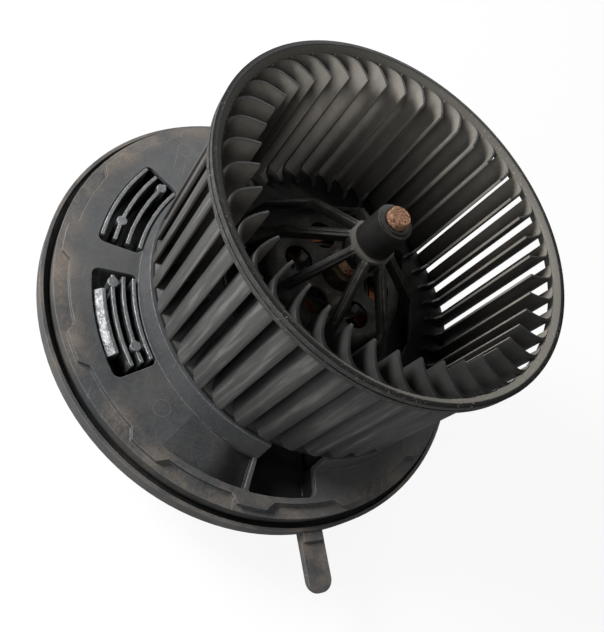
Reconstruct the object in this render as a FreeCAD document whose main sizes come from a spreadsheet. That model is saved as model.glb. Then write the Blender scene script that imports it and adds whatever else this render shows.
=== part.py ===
import FreeCAD, Part
import math
import os
import re

import Sketcher

# Blower motor of a car cabin: an open drum impeller with forward-curved blades on an
# outer-rotor motor, carried by an eccentric round flange with a cast heat sink behind it.
# Millimetres. The frame stands in the middle of the flange, with Z = 0 on the top face of
# its rim. The fan's axis is parallel to Z and stands off the flange's middle along +X, and
# its inlet looks along +Z. The heat sink windows lie towards -X.
# Each body is drawn about the fan's axis and then placed by that offset.

Vector = FreeCAD.Vector

# Driving dimensions, one cell each
SIZES = {
    # impeller
    "fan_radius": 75.0,
    "fan_top_height": 90.8,
    "fan_bottom_height": 22.0,
    "inlet_ring_height": 4.6,
    "inlet_ring_wall": 3.0,
    "inlet_groove_depth": 0.5,
    "inlet_groove_height": 1.0,
    "blade_count": 41,
    "blade_phase": 4.8,
    "blade_inner_radius": 58.2,
    "blade_curve_radius": 14.3,
    "blade_sweep": 78.0,
    "blade_thickness": 1.0,
    "blade_top_drop": 0.6,
    "blade_foot_length": 5.0,
    "blade_foot_height": 3.4,
    "base_ring_radius": 73.8,
    "base_ring_inner_radius": 44.7,
    "base_ring_thickness": 2.0,
    "base_skirt_height": 7.3,
    "base_skirt_wall": 1.7,
    "base_kerb_height": 1.3,
    "base_lip_width": 1.5,
    "base_lip_height": 0.6,
    "spoke_count": 8,
    "spoke_phase": 37.0,
    "spoke_width": 3.6,
    "spoke_depth": 4.6,
    "spoke_shoulder_radius": 31.0,
    "spoke_shoulder_height": 50.0,
    "spoke_rib_width": 1.2,
    "spoke_rib_height": 0.8,
    "spoke_flare_width": 12.5,
    "collar_radius": 10.1,
    "collar_height": 67.3,
    "collar_depth": 5.5,
    "boss_base_radius": 8.3,
    "boss_top_radius": 7.5,
    "boss_top_height": 82.3,
    "boss_lip_radius": 6.3,
    "boss_lip_height": 1.0,
    "boss_length": 25.0,
    # shaft and rotor
    "shaft_radius": 4.5,
    "shaft_top_height": 86.2,
    "shaft_end_drop": 2.2,
    "shaft_chamfer": 0.6,
    "clip_groove_depth": 0.7,
    "clip_thickness": 1.0,
    "clip_radius": 7.0,
    "clip_mouth": 5.0,
    "press_clearance": 0.02,
    "running_clearance": 0.04,
    "slide_clearance": 0.2,
    "hub_radius": 8.0,
    "hub_flange_radius": 11.0,
    "hub_flange_thickness": 1.6,
    "hub_length": 9.0,
    "can_radius": 31.5,
    "can_wall": 1.5,
    "can_top_height": 41.0,
    "can_length": 24.0,
    "can_corner_radius": 4.0,
    "can_window_count": 6,
    "can_window_radius": 6.2,
    "can_window_circle": 18.6,
    "magnet_count": 8,
    "magnet_angle": 41.0,
    "magnet_thickness": 2.0,
    "magnet_length": 17.0,
    "magnet_gap": 0.6,
    "spacer_radius": 6.4,
    "spacer_thickness": 0.9,
    # bearings and their tube
    "bearing_radius": 12.0,
    "bearing_width": 7.0,
    "bearing_race_width": 1.9,
    "bearing_shield_depth": 0.5,
    "bearing_chamfer": 0.4,
    "bearing_span": 43.0,
    "tube_radius": 14.0,
    "tube_shoulder_depth": 1.4,
    "tube_end_margin": 1.5,
    "tube_flange_radius": 21.0,
    "tube_flange_thickness": 3.0,
    "tube_collar_radius": 16.2,
    "wave_washer_thickness": 0.8,
    # stator
    "tooth_count": 9,
    "tooth_width": 4.2,
    "tooth_tip_angle": 32.0,
    "tooth_tip_depth": 1.6,
    "stator_back_width": 4.0,
    "stator_height": 14.0,
    "stator_bottom_height": 19.0,
    "insulator_thickness": 0.9,
    "insulator_wall": 1.2,
    "insulator_wall_height": 2.6,
    "coil_depth": 2.2,
    "coil_length": 5.6,
    "coil_margin": 0.1,
    # flange
    "flange_offset": 11.07,
    "flange_radius": 99.3,
    "rim_wall": 1.5,
    "rim_depth": 7.0,
    "groove_width": 2.6,
    "groove_depth": 4.0,
    "groove_floor": 2.0,
    "step_ring_height": 4.5,
    "step_ring_wall": 2.4,
    "plateau_height": 6.8,
    "plate_thickness": 2.0,
    "lobe_radius": 92.95,
    "lobe_recess": 3.35,
    "lobe_pitch": 29.1,
    "lobe_angle": 7.3,
    "lobe_chamfer_angle": 2.2,
    "recess_count": 11,
    "recess_start": 81.45,
    "dome_radius": 72.0,
    "dome_height": 17.0,
    "dome_flank_width": 1.6,
    "dome_land_width": 10.0,
    "throat_radius": 38.0,
    "throat_height": 10.5,
    "window_inner_radius": 73.9,
    "window_outer_radius": 92.0,
    "window_angle": 30.0,
    "window_start_one": 151.0,
    "window_start_two": 189.0,
    "window_corner_radius": 3.0,
    "ramp_start": 238.0,
    "ramp_end": 262.0,
    "ramp_inner_radius": 73.7,
    "ramp_outer_radius": 87.0,
    "ramp_fall": 5.2,
    "air_gap_start": 262.0,
    "air_gap_end": 281.5,
    "air_gap_inner_radius": 58.0,
    "air_gap_outer_radius": 87.4,
    "air_gap_corner_radius": 4.0,
    "scoop_floor_height": -5.0,
    "scoop_wall": 1.6,
    "scoop_inner_radius": 50.0,
    "tongue_angle": 288.5,
    "tongue_width": 10.6,
    "tongue_reach": 24.0,
    "tongue_thickness": 3.0,
    "tongue_drop": 2.4,
    "tongue_root_length": 4.0,
    "bush_boss_radius": 5.5,
    "bush_boss_circle": 78.0,
    # heat sink
    "sink_radius": 88.0,
    "sink_base_depth": 12.0,
    "sink_base_thickness": 4.0,
    "sink_hub_radius": 22.0,
    "sink_hub_height": 8.5,
    "fin_thickness": 1.4,
    "fin_window_gap": 0.5,
    "fin_end_angle": 1.7,
    "fin_height": 7.6,
    "fin_boss_radius": 2.1,
    "fin_boss_height": 0.4,
    "cast_plate_width": 4.6,
    "cast_plate_gap": 2.2,
    "cast_plate_fall": 2.6,
    "cast_plate_end_angle": 6.0,
    "bush_radius": 6.0,
    "bush_height": 3.0,
    # electronics and rear cover
    "pillar_circle": 50.0,
    "pillar_radius": 4.0,
    "pillar_height": 2.5,
    "board_radius": 58.0,
    "board_thickness": 1.6,
    "pad_thickness": 0.5,
    "transistor_count": 6,
    "transistor_circle": 33.0,
    "transistor_turn": 30.0,
    "transistor_length": 10.0,
    "transistor_width": 9.0,
    "capacitor_radius": 6.2,
    "capacitor_height": 14.0,
    "capacitor_pitch": 15.0,
    "capacitor_row": 30.0,
    "choke_radius": 7.5,
    "choke_core_radius": 3.2,
    "choke_height": 11.0,
    "choke_flange": 1.2,
    "choke_distance": 33.0,
    "choke_coil_inset": 0.6,
    "cover_depth": 36.0,
    "cover_wall": 2.4,
    "cover_taper": 8.5,
    "cover_chamfer": 3.0,
    "cover_lip_gap": 0.8,
    "cover_lip_thickness": 2.5,
    "cover_spigot_height": 3.5,
    "cover_post_circle": 66.0,
    "cover_post_radius": 5.6,
    "socket_width": 26.0,
    "socket_height": 11.0,
    "socket_wall": 1.8,
    "socket_inner_end": 50.0,
    "socket_setback": 0.5,
    "socket_depth": 17.0,
    "pin_count": 4,
    "pin_pitch": 5.4,
    "pin_width": 1.0,
    "pin_reach": 12.0,
    "pin_solder_length": 0.8,
    # fasteners
    "screw_shank_radius": 1.9,
    "screw_head_radius": 4.0,
    "screw_head_height": 2.6,
    "screw_grip": 9.0,
    "small_screw_shank_radius": 1.4,
    "small_screw_head_radius": 3.0,
    "small_screw_head_height": 2.0,
    "flange_screw_tip_gap": 2.0,
    "board_screw_tip_gap": 1.5,
    "cover_screw_tip_gap": 1.0,
}

doc = FreeCAD.newDocument("blower_motor")
sheet = doc.addObject("Spreadsheet::Sheet", "sizes")
for row, (alias, number) in enumerate(SIZES.items(), start=1):
    sheet.set(f"A{row}", alias)
    sheet.set(f"B{row}", str(number))
    sheet.setAlias(f"B{row}", alias)
doc.recompute()

# Heights and radii that follow from the driving dimensions
RING_TOP = "step_ring_height"
STEP_OUTER = "(flange_radius - rim_wall - groove_width)"
STEP_INNER = "(flange_radius - rim_wall - groove_width - step_ring_wall)"
PLATE_UNDER = "(plateau_height - plate_thickness)"
EDGE_UNDER = "(step_ring_height - plate_thickness)"
EDGE_INNER = "(lobe_radius - lobe_recess - plate_thickness)"
FLOOR_UNDER = "(-groove_depth - groove_floor)"
BASE_TOP = "(fan_bottom_height + base_skirt_height - base_kerb_height)"
BASE_UNDER = f"({BASE_TOP} - base_ring_thickness)"
CAN_INNER = "(can_radius - can_wall)"
CAN_CEILING = "(can_top_height - can_wall)"
MAGNET_INNER = "(can_radius - can_wall - magnet_thickness)"
HUB_FLANGE_UNDER = "(can_top_height - can_wall - hub_flange_thickness)"
UPPER_BEARING_TOP = f"({HUB_FLANGE_UNDER} - spacer_thickness)"
UPPER_BEARING_UNDER = f"({UPPER_BEARING_TOP} - bearing_width)"
LOWER_BEARING_UNDER = f"({UPPER_BEARING_TOP} - bearing_span)"
LOWER_BEARING_TOP = f"({LOWER_BEARING_UNDER} + bearing_width)"
TUBE_UNDER = f"({LOWER_BEARING_UNDER} - tube_end_margin)"
TUBE_TOP = f"({UPPER_BEARING_TOP} + bearing_chamfer)"
SHAFT_UNDER = f"({LOWER_BEARING_UNDER} - clip_thickness - shaft_end_drop)"
CLIP_UNDER = f"({LOWER_BEARING_UNDER} - clip_thickness - running_clearance)"
STATOR_TOP = "(stator_bottom_height + stator_height)"
STATOR_RADIUS = "(can_radius - can_wall - magnet_thickness - magnet_gap)"
STATOR_BORE = "(tube_radius + press_clearance)"
SINK_UNDER = "(-sink_base_depth)"
SINK_TOP = "(sink_base_thickness - sink_base_depth)"
BOSS_UNDER = "(sink_base_thickness - sink_base_depth + bush_height)"
BOARD_TOP = "(-sink_base_depth - pillar_height)"
BOARD_UNDER = "(-sink_base_depth - pillar_height - board_thickness)"
COVER_UNDER = "(-cover_depth)"
COVER_FLOOR = "(cover_wall - cover_depth)"
COVER_OUTER = "(flange_radius - rim_wall - groove_width - step_ring_wall - slide_clearance)"
COVER_LIP = "(flange_radius - rim_wall - cover_lip_gap)"
SOCKET_END = f"({COVER_LIP} - socket_setback)"
PILOT_RADIUS = "(screw_shank_radius + running_clearance)"
THROUGH_RADIUS = "(screw_shank_radius + slide_clearance)"
BUSH_ANGLES = (30, 120, 235, 320)
POST_ANGLES = (45, 135, 225, 315)
PILLAR_ANGLES = (60, 180, 300)


def ex(formula):
    """Formula with every size name pointed at the sheet."""
    return re.sub(r"[a-z]+(?:_[a-z0-9]+)+", lambda name: "sizes." + name.group(0), formula)


def number(formula):
    """Value of a formula at the present sizes."""
    result = sheet.evalExpression(ex(formula).replace("sizes.", ""))
    return float(getattr(result, "Value", result))


def origin_feature(body, role):
    return next(item for item in body.Origin.OriginFeatures if item.Role == role)


def new_body(label):
    body = doc.addObject("PartDesign::Body", label)
    body.Label = label
    body.AllowCompound = True
    return body


def sketch_on(body, role, name, height=None, shift=None, turn=None):
    """Sketch on an origin plane: height along its normal, shift along its x, turn in degrees."""
    sketch = body.newObject("Sketcher::SketchObject", name)
    sketch.AttachmentSupport = [(origin_feature(body, role), "")]
    sketch.MapMode = "FlatFace"
    spin = Vector(0, 0, 1) if role == "XY_Plane" else Vector(0, 1, 0)
    sketch.AttachmentOffset = FreeCAD.Placement(Vector(), FreeCAD.Rotation(spin, 1.0))
    sketch.setExpression("AttachmentOffset.Rotation.Angle", ex(turn or "0"))
    sketch.setExpression("AttachmentOffset.Base.z", ex(height or "0"))
    sketch.setExpression("AttachmentOffset.Base.x", ex(shift or "0"))
    return sketch


def drive(sketch, constraint, formula):
    index = sketch.addConstraint(constraint)
    sketch.setExpression(f"Constraints[{index}]", ex(formula))


def fix_point(sketch, geometry, position, point):
    drive(sketch, Sketcher.Constraint("DistanceX", geometry, position, number(point[0])), point[0])
    drive(sketch, Sketcher.Constraint("DistanceY", geometry, position, number(point[1])), point[1])


def circle(sketch, radius, x="0", y="0"):
    centre = Vector(number(x), number(y), 0)
    geometry = sketch.addGeometry(Part.Circle(centre, Vector(0, 0, 1), number(radius)))
    drive(sketch, Sketcher.Constraint("Radius", geometry, number(radius)), radius)
    fix_point(sketch, geometry, 3, (x, y))


def outline(sketch, points, arcs=None):
    """Closed outline. arcs maps a side to the centre, radius and turning sense of its arc."""
    arcs = arcs or {}
    places = [Vector(number(x), number(y), 0) for x, y in points]
    starts = []
    ends = []
    for side, start in enumerate(places):
        end = places[(side + 1) % len(places)]
        if side not in arcs:
            geometry = sketch.addGeometry(Part.LineSegment(start, end))
            starts.append((geometry, 1))
            ends.append((geometry, 2))
            continue
        centre_x, centre_y, radius, sense = arcs[side]
        centre = Vector(number(centre_x), number(centre_y), 0)
        first = start if sense == "left" else end
        last = end if sense == "left" else start
        ring = Part.Circle(centre, Vector(0, 0, 1), number(radius))
        angle_first = math.atan2(first.y - centre.y, first.x - centre.x)
        angle_last = math.atan2(last.y - centre.y, last.x - centre.x)
        geometry = sketch.addGeometry(Part.ArcOfCircle(ring, angle_first, angle_last))
        starts.append((geometry, 1 if sense == "left" else 2))
        ends.append((geometry, 2 if sense == "left" else 1))
    for side, (geometry, position) in enumerate(starts):
        before = ends[side - 1]
        sketch.addConstraint(Sketcher.Constraint("Coincident", *before, geometry, position))
        fix_point(sketch, geometry, position, points[side])
    for side, (_, _, radius, _) in arcs.items():
        geometry = starts[side][0]
        drive(sketch, Sketcher.Constraint("Radius", geometry, number(radius)), radius)


def polar(radius, angle, x="0", y="0"):
    """Point at a radius and angle from a centre, as a pair of formulas."""
    return (f"({x} + ({radius}) * cos({angle}))", f"({y} + ({radius}) * sin({angle}))")


def sector(sketch, inner, outer, start, end, outer_centre="0"):
    """Ring sector about the fan axis; its outer arc may be centred elsewhere on X."""
    points = [
        polar(inner, start),
        polar_on_shifted(outer, start, outer_centre),
        polar_on_shifted(outer, end, outer_centre),
        polar(inner, end),
    ]
    arcs = {
        1: (outer_centre, "0", outer, "left"),
        3: ("0", "0", inner, "right"),
    }
    outline(sketch, points, arcs)


def polar_on_shifted(radius, angle, centre):
    """Where the ray at an angle from the fan axis meets a circle centred on X."""
    along = polar_distance(radius, angle, centre)
    return (f"{along} * cos({angle})", f"{along} * sin({angle})")


def feature(body, kind, name, sketch, **formulas):
    made = body.newObject("PartDesign::" + kind, name)
    made.Profile = sketch
    for key, formula in formulas.items():
        made.setExpression(key, ex(formula))
    return made


def pad(body, name, sketch, length, symmetric=False):
    made = feature(body, "Pad", name, sketch, Length=length)
    if symmetric:
        made.SideType = "Symmetric"
    return made


def pocket(body, name, sketch, length, symmetric=False):
    made = feature(body, "Pocket", name, sketch, Length=length)
    if symmetric:
        made.SideType = "Symmetric"
    return made


def turned(body, name, points, angle="360", shift=None, turn=None, arcs=None):
    """Revolution of a profile of radius and height pairs."""
    sketch = sketch_on(body, "XZ_Plane", name + "_profile", shift=shift, turn=turn)
    outline(sketch, points, arcs)
    made = feature(body, "Revolution", name, sketch, Angle=angle)
    made.ReferenceAxis = (sketch, ["V_Axis"])
    return made


def disc(body, name, radius, bottom, top, x="0", y="0"):
    sketch = sketch_on(body, "XY_Plane", name + "_circle", height=bottom)
    circle(sketch, radius, x, y)
    return pad(body, name, sketch, f"({top}) - ({bottom})")


def bore(body, name, radius, bottom, top, x="0", y="0"):
    sketch = sketch_on(body, "XY_Plane", name + "_circle", height=top)
    circle(sketch, radius, x, y)
    return pocket(body, name, sketch, f"({top}) - ({bottom})")


def around(body, name, originals, count, angle="360"):
    """Copies of features about the fan axis."""
    made = body.newObject("PartDesign::PolarPattern", name)
    made.Originals = originals
    made.Axis = (origin_feature(body, "Z_Axis"), [""])
    made.setExpression("Angle", ex(angle))
    made.setExpression("Occurrences", ex(count))
    body.Tip = made
    return made


def block(body, name, x_range, y_range, bottom, top, turn=None):
    """Upright block between two x, two y and two z values."""
    sketch = sketch_on(body, "XY_Plane", name + "_plan", height=bottom, turn=turn)
    (x_low, x_high), (y_low, y_high) = x_range, y_range
    outline(sketch, [(x_low, y_low), (x_high, y_low), (x_high, y_high), (x_low, y_high)])
    return pad(body, name, sketch, f"({top}) - ({bottom})")


def notch(body, name, x_range, y_range, bottom, top, turn=None):
    sketch = sketch_on(body, "XY_Plane", name + "_plan", height=top, turn=turn)
    (x_low, x_high), (y_low, y_high) = x_range, y_range
    outline(sketch, [(x_low, y_low), (x_high, y_low), (x_high, y_high), (x_low, y_high)])
    return pocket(body, name, sketch, f"({top}) - ({bottom})")


def round_upright_edges(body, name, radius, wanted):
    """Fillet on the upright edges whose place passes the test."""
    doc.recompute()
    base = body.Tip
    names = []
    for index, edge in enumerate(base.Shape.Edges, start=1):
        if len(edge.Vertexes) != 2:
            continue
        low, high = edge.Vertexes[0].Point, edge.Vertexes[1].Point
        upright = math.hypot(high.x - low.x, high.y - low.y) < 0.001
        if upright and abs(high.z - low.z) > 0.5 and wanted(low):
            names.append(f"Edge{index}")
    made = body.newObject("PartDesign::Fillet", name)
    made.Base = (base, names)
    made.setExpression("Radius", ex(radius))
    return made


def flange_point(radius, angle):
    """Point about the middle of the flange."""
    return polar(radius, str(angle), x="-flange_offset")


def make_impeller():
    body = new_body("impeller")
    body.Placement = FreeCAD.Placement(Vector(), FreeCAD.Rotation(Vector(0, 0, 1), 1.0))
    body.setExpression("Placement.Rotation.Angle", ex("spoke_phase"))
    skirt_inner = "(base_ring_radius - base_skirt_wall)"
    ring_inner = "(fan_radius - inlet_ring_wall)"
    ring_under = "(fan_top_height - inlet_ring_height)"
    groove_middle = "(fan_top_height - 0.5 * inlet_ring_height)"
    turned(body, "base_ring", [
        ("base_ring_inner_radius", BASE_UNDER),
        (skirt_inner, BASE_UNDER),
        (skirt_inner, "fan_bottom_height"),
        ("base_ring_radius", "fan_bottom_height"),
        ("base_ring_radius", "fan_bottom_height + base_skirt_height"),
        (skirt_inner, "fan_bottom_height + base_skirt_height"),
        (skirt_inner, BASE_TOP),
        ("base_ring_inner_radius + base_lip_width", BASE_TOP),
        ("base_ring_inner_radius + base_lip_width", BASE_TOP + " + base_lip_height"),
        ("base_ring_inner_radius", BASE_TOP + " + base_lip_height"),
    ])
    # one forward-curved blade: radial at its inner edge, tangent to the drum outside
    outer_arc = "(blade_curve_radius + 0.5 * blade_thickness)"
    inner_arc = "(blade_curve_radius - 0.5 * blade_thickness)"
    root = f"({BASE_UNDER} + 0.5 * base_ring_thickness)"
    blade_turn = "blade_phase - spoke_phase"
    sketch = sketch_on(body, "XY_Plane", "blade_section", height=root, turn=blade_turn)
    centre = ("blade_inner_radius", "blade_curve_radius")
    sweep_end = "(blade_sweep - 90)"
    outline(sketch, [
        ("blade_inner_radius", "-0.5 * blade_thickness"),
        polar(outer_arc, sweep_end, *centre),
        polar(inner_arc, sweep_end, *centre),
        ("blade_inner_radius", "0.5 * blade_thickness"),
    ], {0: (*centre, outer_arc, "left"), 2: (*centre, inner_arc, "right")})
    blade = pad(body, "blade", sketch, f"fan_top_height - blade_top_drop - {root}")
    # its foot runs inwards over the base ring
    foot_sketch = sketch_on(body, "XZ_Plane", "blade_foot_side", turn=blade_turn)
    outline(foot_sketch, [
        ("blade_inner_radius - blade_foot_length", BASE_TOP + " - 0.5 * base_ring_thickness"),
        ("blade_inner_radius + blade_thickness", BASE_TOP + " - 0.5 * base_ring_thickness"),
        ("blade_inner_radius + blade_thickness", BASE_TOP + " + 2 * blade_foot_height"),
        ("blade_inner_radius", BASE_TOP + " + 2 * blade_foot_height"),
        ("blade_inner_radius - 0.3 * blade_foot_length", BASE_TOP + " + blade_foot_height"),
        ("blade_inner_radius - blade_foot_length", BASE_TOP + " + 0.7 * blade_foot_height"),
    ])
    foot = pad(body, "blade_foot", foot_sketch, "blade_thickness", symmetric=True)
    around(body, "blades", [blade, foot], "blade_count")
    turned(body, "inlet_ring", [
        (ring_inner, ring_under),
        ("fan_radius", ring_under),
        ("fan_radius", groove_middle + " - 0.5 * inlet_groove_height"),
        ("fan_radius - inlet_groove_depth", groove_middle + " - 0.5 * inlet_groove_height"),
        ("fan_radius - inlet_groove_depth", groove_middle + " + 0.5 * inlet_groove_height"),
        ("fan_radius", groove_middle + " + 0.5 * inlet_groove_height"),
        ("fan_radius", "fan_top_height"),
        (ring_inner, "fan_top_height"),
    ])
    turned(body, "boss", [
        ("shaft_radius + press_clearance", "boss_top_height - boss_length"),
        ("boss_base_radius", "boss_top_height - boss_length"),
        ("boss_base_radius", "collar_height"),
        ("boss_top_radius", "boss_top_height"),
        ("boss_lip_radius", "boss_top_height"),
        ("boss_lip_radius", "boss_top_height + boss_lip_height"),
        ("shaft_radius + press_clearance", "boss_top_height + boss_lip_height"),
    ])
    # the collar has a corner at each spoke
    sketch = sketch_on(body, "XY_Plane", "collar_plan", height="collar_height - collar_depth")
    corners = int(SIZES["spoke_count"])
    outline(sketch, [polar("collar_radius", f"({index} * 360 / {corners})") for index in range(corners)])
    pad(body, "collar", sketch, "collar_depth")
    bore(body, "shaft_bore", "shaft_radius + press_clearance",
         "boss_top_height - boss_length", "boss_top_height")
    # spoke: slopes from the collar to its shoulder, then drops to the base ring
    spoke_foot = "(base_ring_inner_radius + 0.5 * base_lip_width)"
    side = sketch_on(body, "XZ_Plane", "spoke_side")
    outline(side, [
        ("boss_base_radius - 0.5", "collar_height - 0.3"),
        ("spoke_shoulder_radius", "spoke_shoulder_height"),
        (spoke_foot, BASE_TOP),
        (spoke_foot, BASE_UNDER),
        (spoke_foot + " - 0.8 * spoke_depth", BASE_UNDER),
        ("spoke_shoulder_radius - 0.45 * spoke_depth", "spoke_shoulder_height - 0.75 * spoke_depth"),
        ("boss_base_radius - 0.5", "collar_height - spoke_depth"),
    ])
    spoke = pad(body, "spoke", side, "spoke_width", symmetric=True)
    rib_side = sketch_on(body, "XZ_Plane", "spoke_rib_side")
    outline(rib_side, [
        ("collar_radius - 0.5", "collar_height - 1.0 + 0.3"),
        ("spoke_shoulder_radius", "spoke_shoulder_height + spoke_rib_height"),
        ("spoke_shoulder_radius", "spoke_shoulder_height - 1"),
        ("collar_radius - 0.5", "collar_height - 2.5"),
    ])
    rib = pad(body, "spoke_rib", rib_side, "spoke_rib_width", symmetric=True)
    # below its shoulder the spoke widens towards the base ring
    sections = []
    for name, radius, width, low, high in (
        ("narrow", "spoke_shoulder_radius", "spoke_width",
         "spoke_shoulder_height - spoke_depth", "spoke_shoulder_height - 0.2 * spoke_depth"),
        ("wide", spoke_foot, "spoke_flare_width", BASE_UNDER, BASE_TOP),
    ):
        section = sketch_on(body, "YZ_Plane", f"flare_{name}", height=radius)
        outline(section, [
            (f"-0.5 * {width}", low),
            (f"0.5 * {width}", low),
            (f"0.5 * {width}", high),
            (f"-0.5 * {width}", high),
        ])
        sections.append(section)
    flare = feature(body, "AdditiveLoft", "spoke_flare", sections[0])
    flare.Sections = sections[1:]
    flare.Ruled = True
    around(body, "spokes", [spoke, rib, flare], "spoke_count")
    return body


def make_shaft():
    body = new_body("motor_shaft")
    groove_under = CLIP_UNDER
    turned(body, "rod", [
        ("0", SHAFT_UNDER),
        ("shaft_radius - shaft_chamfer", SHAFT_UNDER),
        ("shaft_radius", SHAFT_UNDER + " + shaft_chamfer"),
        ("shaft_radius", groove_under),
        ("shaft_radius - clip_groove_depth", groove_under),
        ("shaft_radius - clip_groove_depth", groove_under + " + clip_thickness"),
        ("shaft_radius", groove_under + " + clip_thickness"),
        ("shaft_radius", "shaft_top_height - shaft_chamfer"),
        ("shaft_radius - shaft_chamfer", "shaft_top_height"),
        ("0", "shaft_top_height"),
    ])
    return body


def make_retaining_ring():
    body = new_body("retaining_ring")
    inner = "(shaft_radius - clip_groove_depth + press_clearance)"
    turned(body, "ring", [
        (inner, CLIP_UNDER + " + press_clearance"),
        ("clip_radius", CLIP_UNDER + " + press_clearance"),
        ("clip_radius", CLIP_UNDER + " + clip_thickness - press_clearance"),
        (inner, CLIP_UNDER + " + clip_thickness - press_clearance"),
    ])
    notch(body, "mouth", ("0", "clip_radius + 1"), ("-0.5 * clip_mouth", "0.5 * clip_mouth"),
          CLIP_UNDER, CLIP_UNDER + " + clip_thickness")
    return body


def make_rotor_hub():
    body = new_body("rotor_hub")
    inner = "(shaft_radius + press_clearance)"
    turned(body, "bush", [
        (inner, HUB_FLANGE_UNDER),
        ("hub_flange_radius", HUB_FLANGE_UNDER),
        ("hub_flange_radius", CAN_CEILING),
        ("hub_radius", CAN_CEILING),
        ("hub_radius", CAN_CEILING + " + hub_length"),
        (inner, CAN_CEILING + " + hub_length"),
    ])
    return body


def make_rotor_can():
    body = new_body("rotor_can")
    can_under = "(can_top_height - can_length)"
    bend = "can_corner_radius"
    turned(body, "cup", [
        (CAN_INNER, can_under),
        ("can_radius", can_under),
        ("can_radius", f"can_top_height - {bend}"),
        (f"can_radius - {bend}", "can_top_height"),
        ("hub_radius + press_clearance", "can_top_height"),
        ("hub_radius + press_clearance", CAN_CEILING),
        (f"can_radius - {bend}", CAN_CEILING),
        (CAN_INNER, f"can_top_height - {bend}"),
    ], arcs={
        2: (f"can_radius - {bend}", f"can_top_height - {bend}", bend, "left"),
        6: (f"can_radius - {bend}", f"can_top_height - {bend}", f"({bend} - can_wall)", "right"),
    })
    hole = bore(body, "window", "can_window_radius", CAN_CEILING + " - 1", "can_top_height + 1",
                x="can_window_circle")
    around(body, "windows", [hole], "can_window_count")
    return body


def make_magnets():
    body = new_body("rotor_magnets")
    bottom = "(can_top_height - can_length + 1)"
    magnet = turned(body, "magnet", [
        (MAGNET_INNER, bottom),
        (CAN_INNER + " - press_clearance", bottom),
        (CAN_INNER + " - press_clearance", bottom + " + magnet_length"),
        (MAGNET_INNER, bottom + " + magnet_length"),
    ], angle="magnet_angle")
    around(body, "magnets", [magnet], "magnet_count")
    return body


def make_spacer():
    body = new_body("spacer_washer")
    turned(body, "washer", [
        ("shaft_radius + press_clearance", UPPER_BEARING_TOP + " + running_clearance"),
        ("spacer_radius", UPPER_BEARING_TOP + " + running_clearance"),
        ("spacer_radius", HUB_FLANGE_UNDER),
        ("shaft_radius + press_clearance", HUB_FLANGE_UNDER),
    ])
    return body


def make_bearing(label, under, top):
    """Shielded ball bearing, closed by its shields, as one solid."""
    body = new_body(label)
    inner = "(shaft_radius + running_clearance)"
    outer = "(bearing_radius - press_clearance)"
    inner_race = f"({inner} + bearing_race_width)"
    outer_race = f"({outer} - bearing_race_width)"
    turned(body, "rings", [
        (inner, under),
        (inner_race, under),
        (inner_race, under + " + bearing_shield_depth"),
        (outer_race, under + " + bearing_shield_depth"),
        (outer_race, under),
        (outer + " - bearing_chamfer", under),
        (outer, under + " + bearing_chamfer"),
        (outer, top + " - bearing_chamfer"),
        (outer + " - bearing_chamfer", top),
        (outer_race, top),
        (outer_race, top + " - bearing_shield_depth"),
        (inner_race, top + " - bearing_shield_depth"),
        (inner_race, top),
        (inner, top),
    ])
    return body


def make_wave_washer():
    body = new_body("wave_washer")
    turned(body, "washer", [
        ("bearing_radius - 2 * tube_shoulder_depth", LOWER_BEARING_TOP),
        ("bearing_radius - slide_clearance", LOWER_BEARING_TOP),
        ("bearing_radius - slide_clearance", LOWER_BEARING_TOP + " + wave_washer_thickness"),
        ("bearing_radius - 2 * tube_shoulder_depth", LOWER_BEARING_TOP + " + wave_washer_thickness"),
    ])
    return body


def make_bearing_tube():
    body = new_body("bearing_tube")
    waist = "(bearing_radius - tube_shoulder_depth)"
    seat = "bearing_radius"
    flange_under = "sink_hub_height"
    stator_seat = "(stator_bottom_height - insulator_thickness)"
    turned(body, "tube", [
        (seat, TUBE_UNDER),
        ("tube_radius", TUBE_UNDER),
        ("tube_radius", flange_under),
        ("tube_flange_radius", flange_under),
        ("tube_flange_radius", flange_under + " + tube_flange_thickness"),
        ("tube_collar_radius", flange_under + " + tube_flange_thickness"),
        ("tube_collar_radius", stator_seat),
        ("tube_radius", stator_seat),
        ("tube_radius", TUBE_TOP),
        (seat, TUBE_TOP),
        (seat, UPPER_BEARING_UNDER),
        (waist, UPPER_BEARING_UNDER),
        (waist, LOWER_BEARING_TOP + " + wave_washer_thickness"),
        (seat, LOWER_BEARING_TOP + " + wave_washer_thickness"),
    ])
    return body


def make_stator_core():
    body = new_body("stator_core")
    back = f"({STATOR_BORE} + stator_back_width)"
    turned(body, "yoke", [
        (STATOR_BORE, "stator_bottom_height"),
        (back, "stator_bottom_height"),
        (back, STATOR_TOP),
        (STATOR_BORE, STATOR_TOP),
    ])
    tooth = block(body, "tooth", (back + " - 0.8", STATOR_RADIUS + " - 0.5 * tooth_tip_depth"),
                  ("-0.5 * tooth_width", "0.5 * tooth_width"), "stator_bottom_height", STATOR_TOP)
    tip = turned(body, "tooth_tip", [
        (STATOR_RADIUS + " - tooth_tip_depth", "stator_bottom_height"),
        (STATOR_RADIUS, "stator_bottom_height"),
        (STATOR_RADIUS, STATOR_TOP),
        (STATOR_RADIUS + " - tooth_tip_depth", STATOR_TOP),
    ], angle="tooth_tip_angle", turn="-0.5 * tooth_tip_angle")
    around(body, "teeth", [tooth, tip], "tooth_count")
    return body


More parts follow.
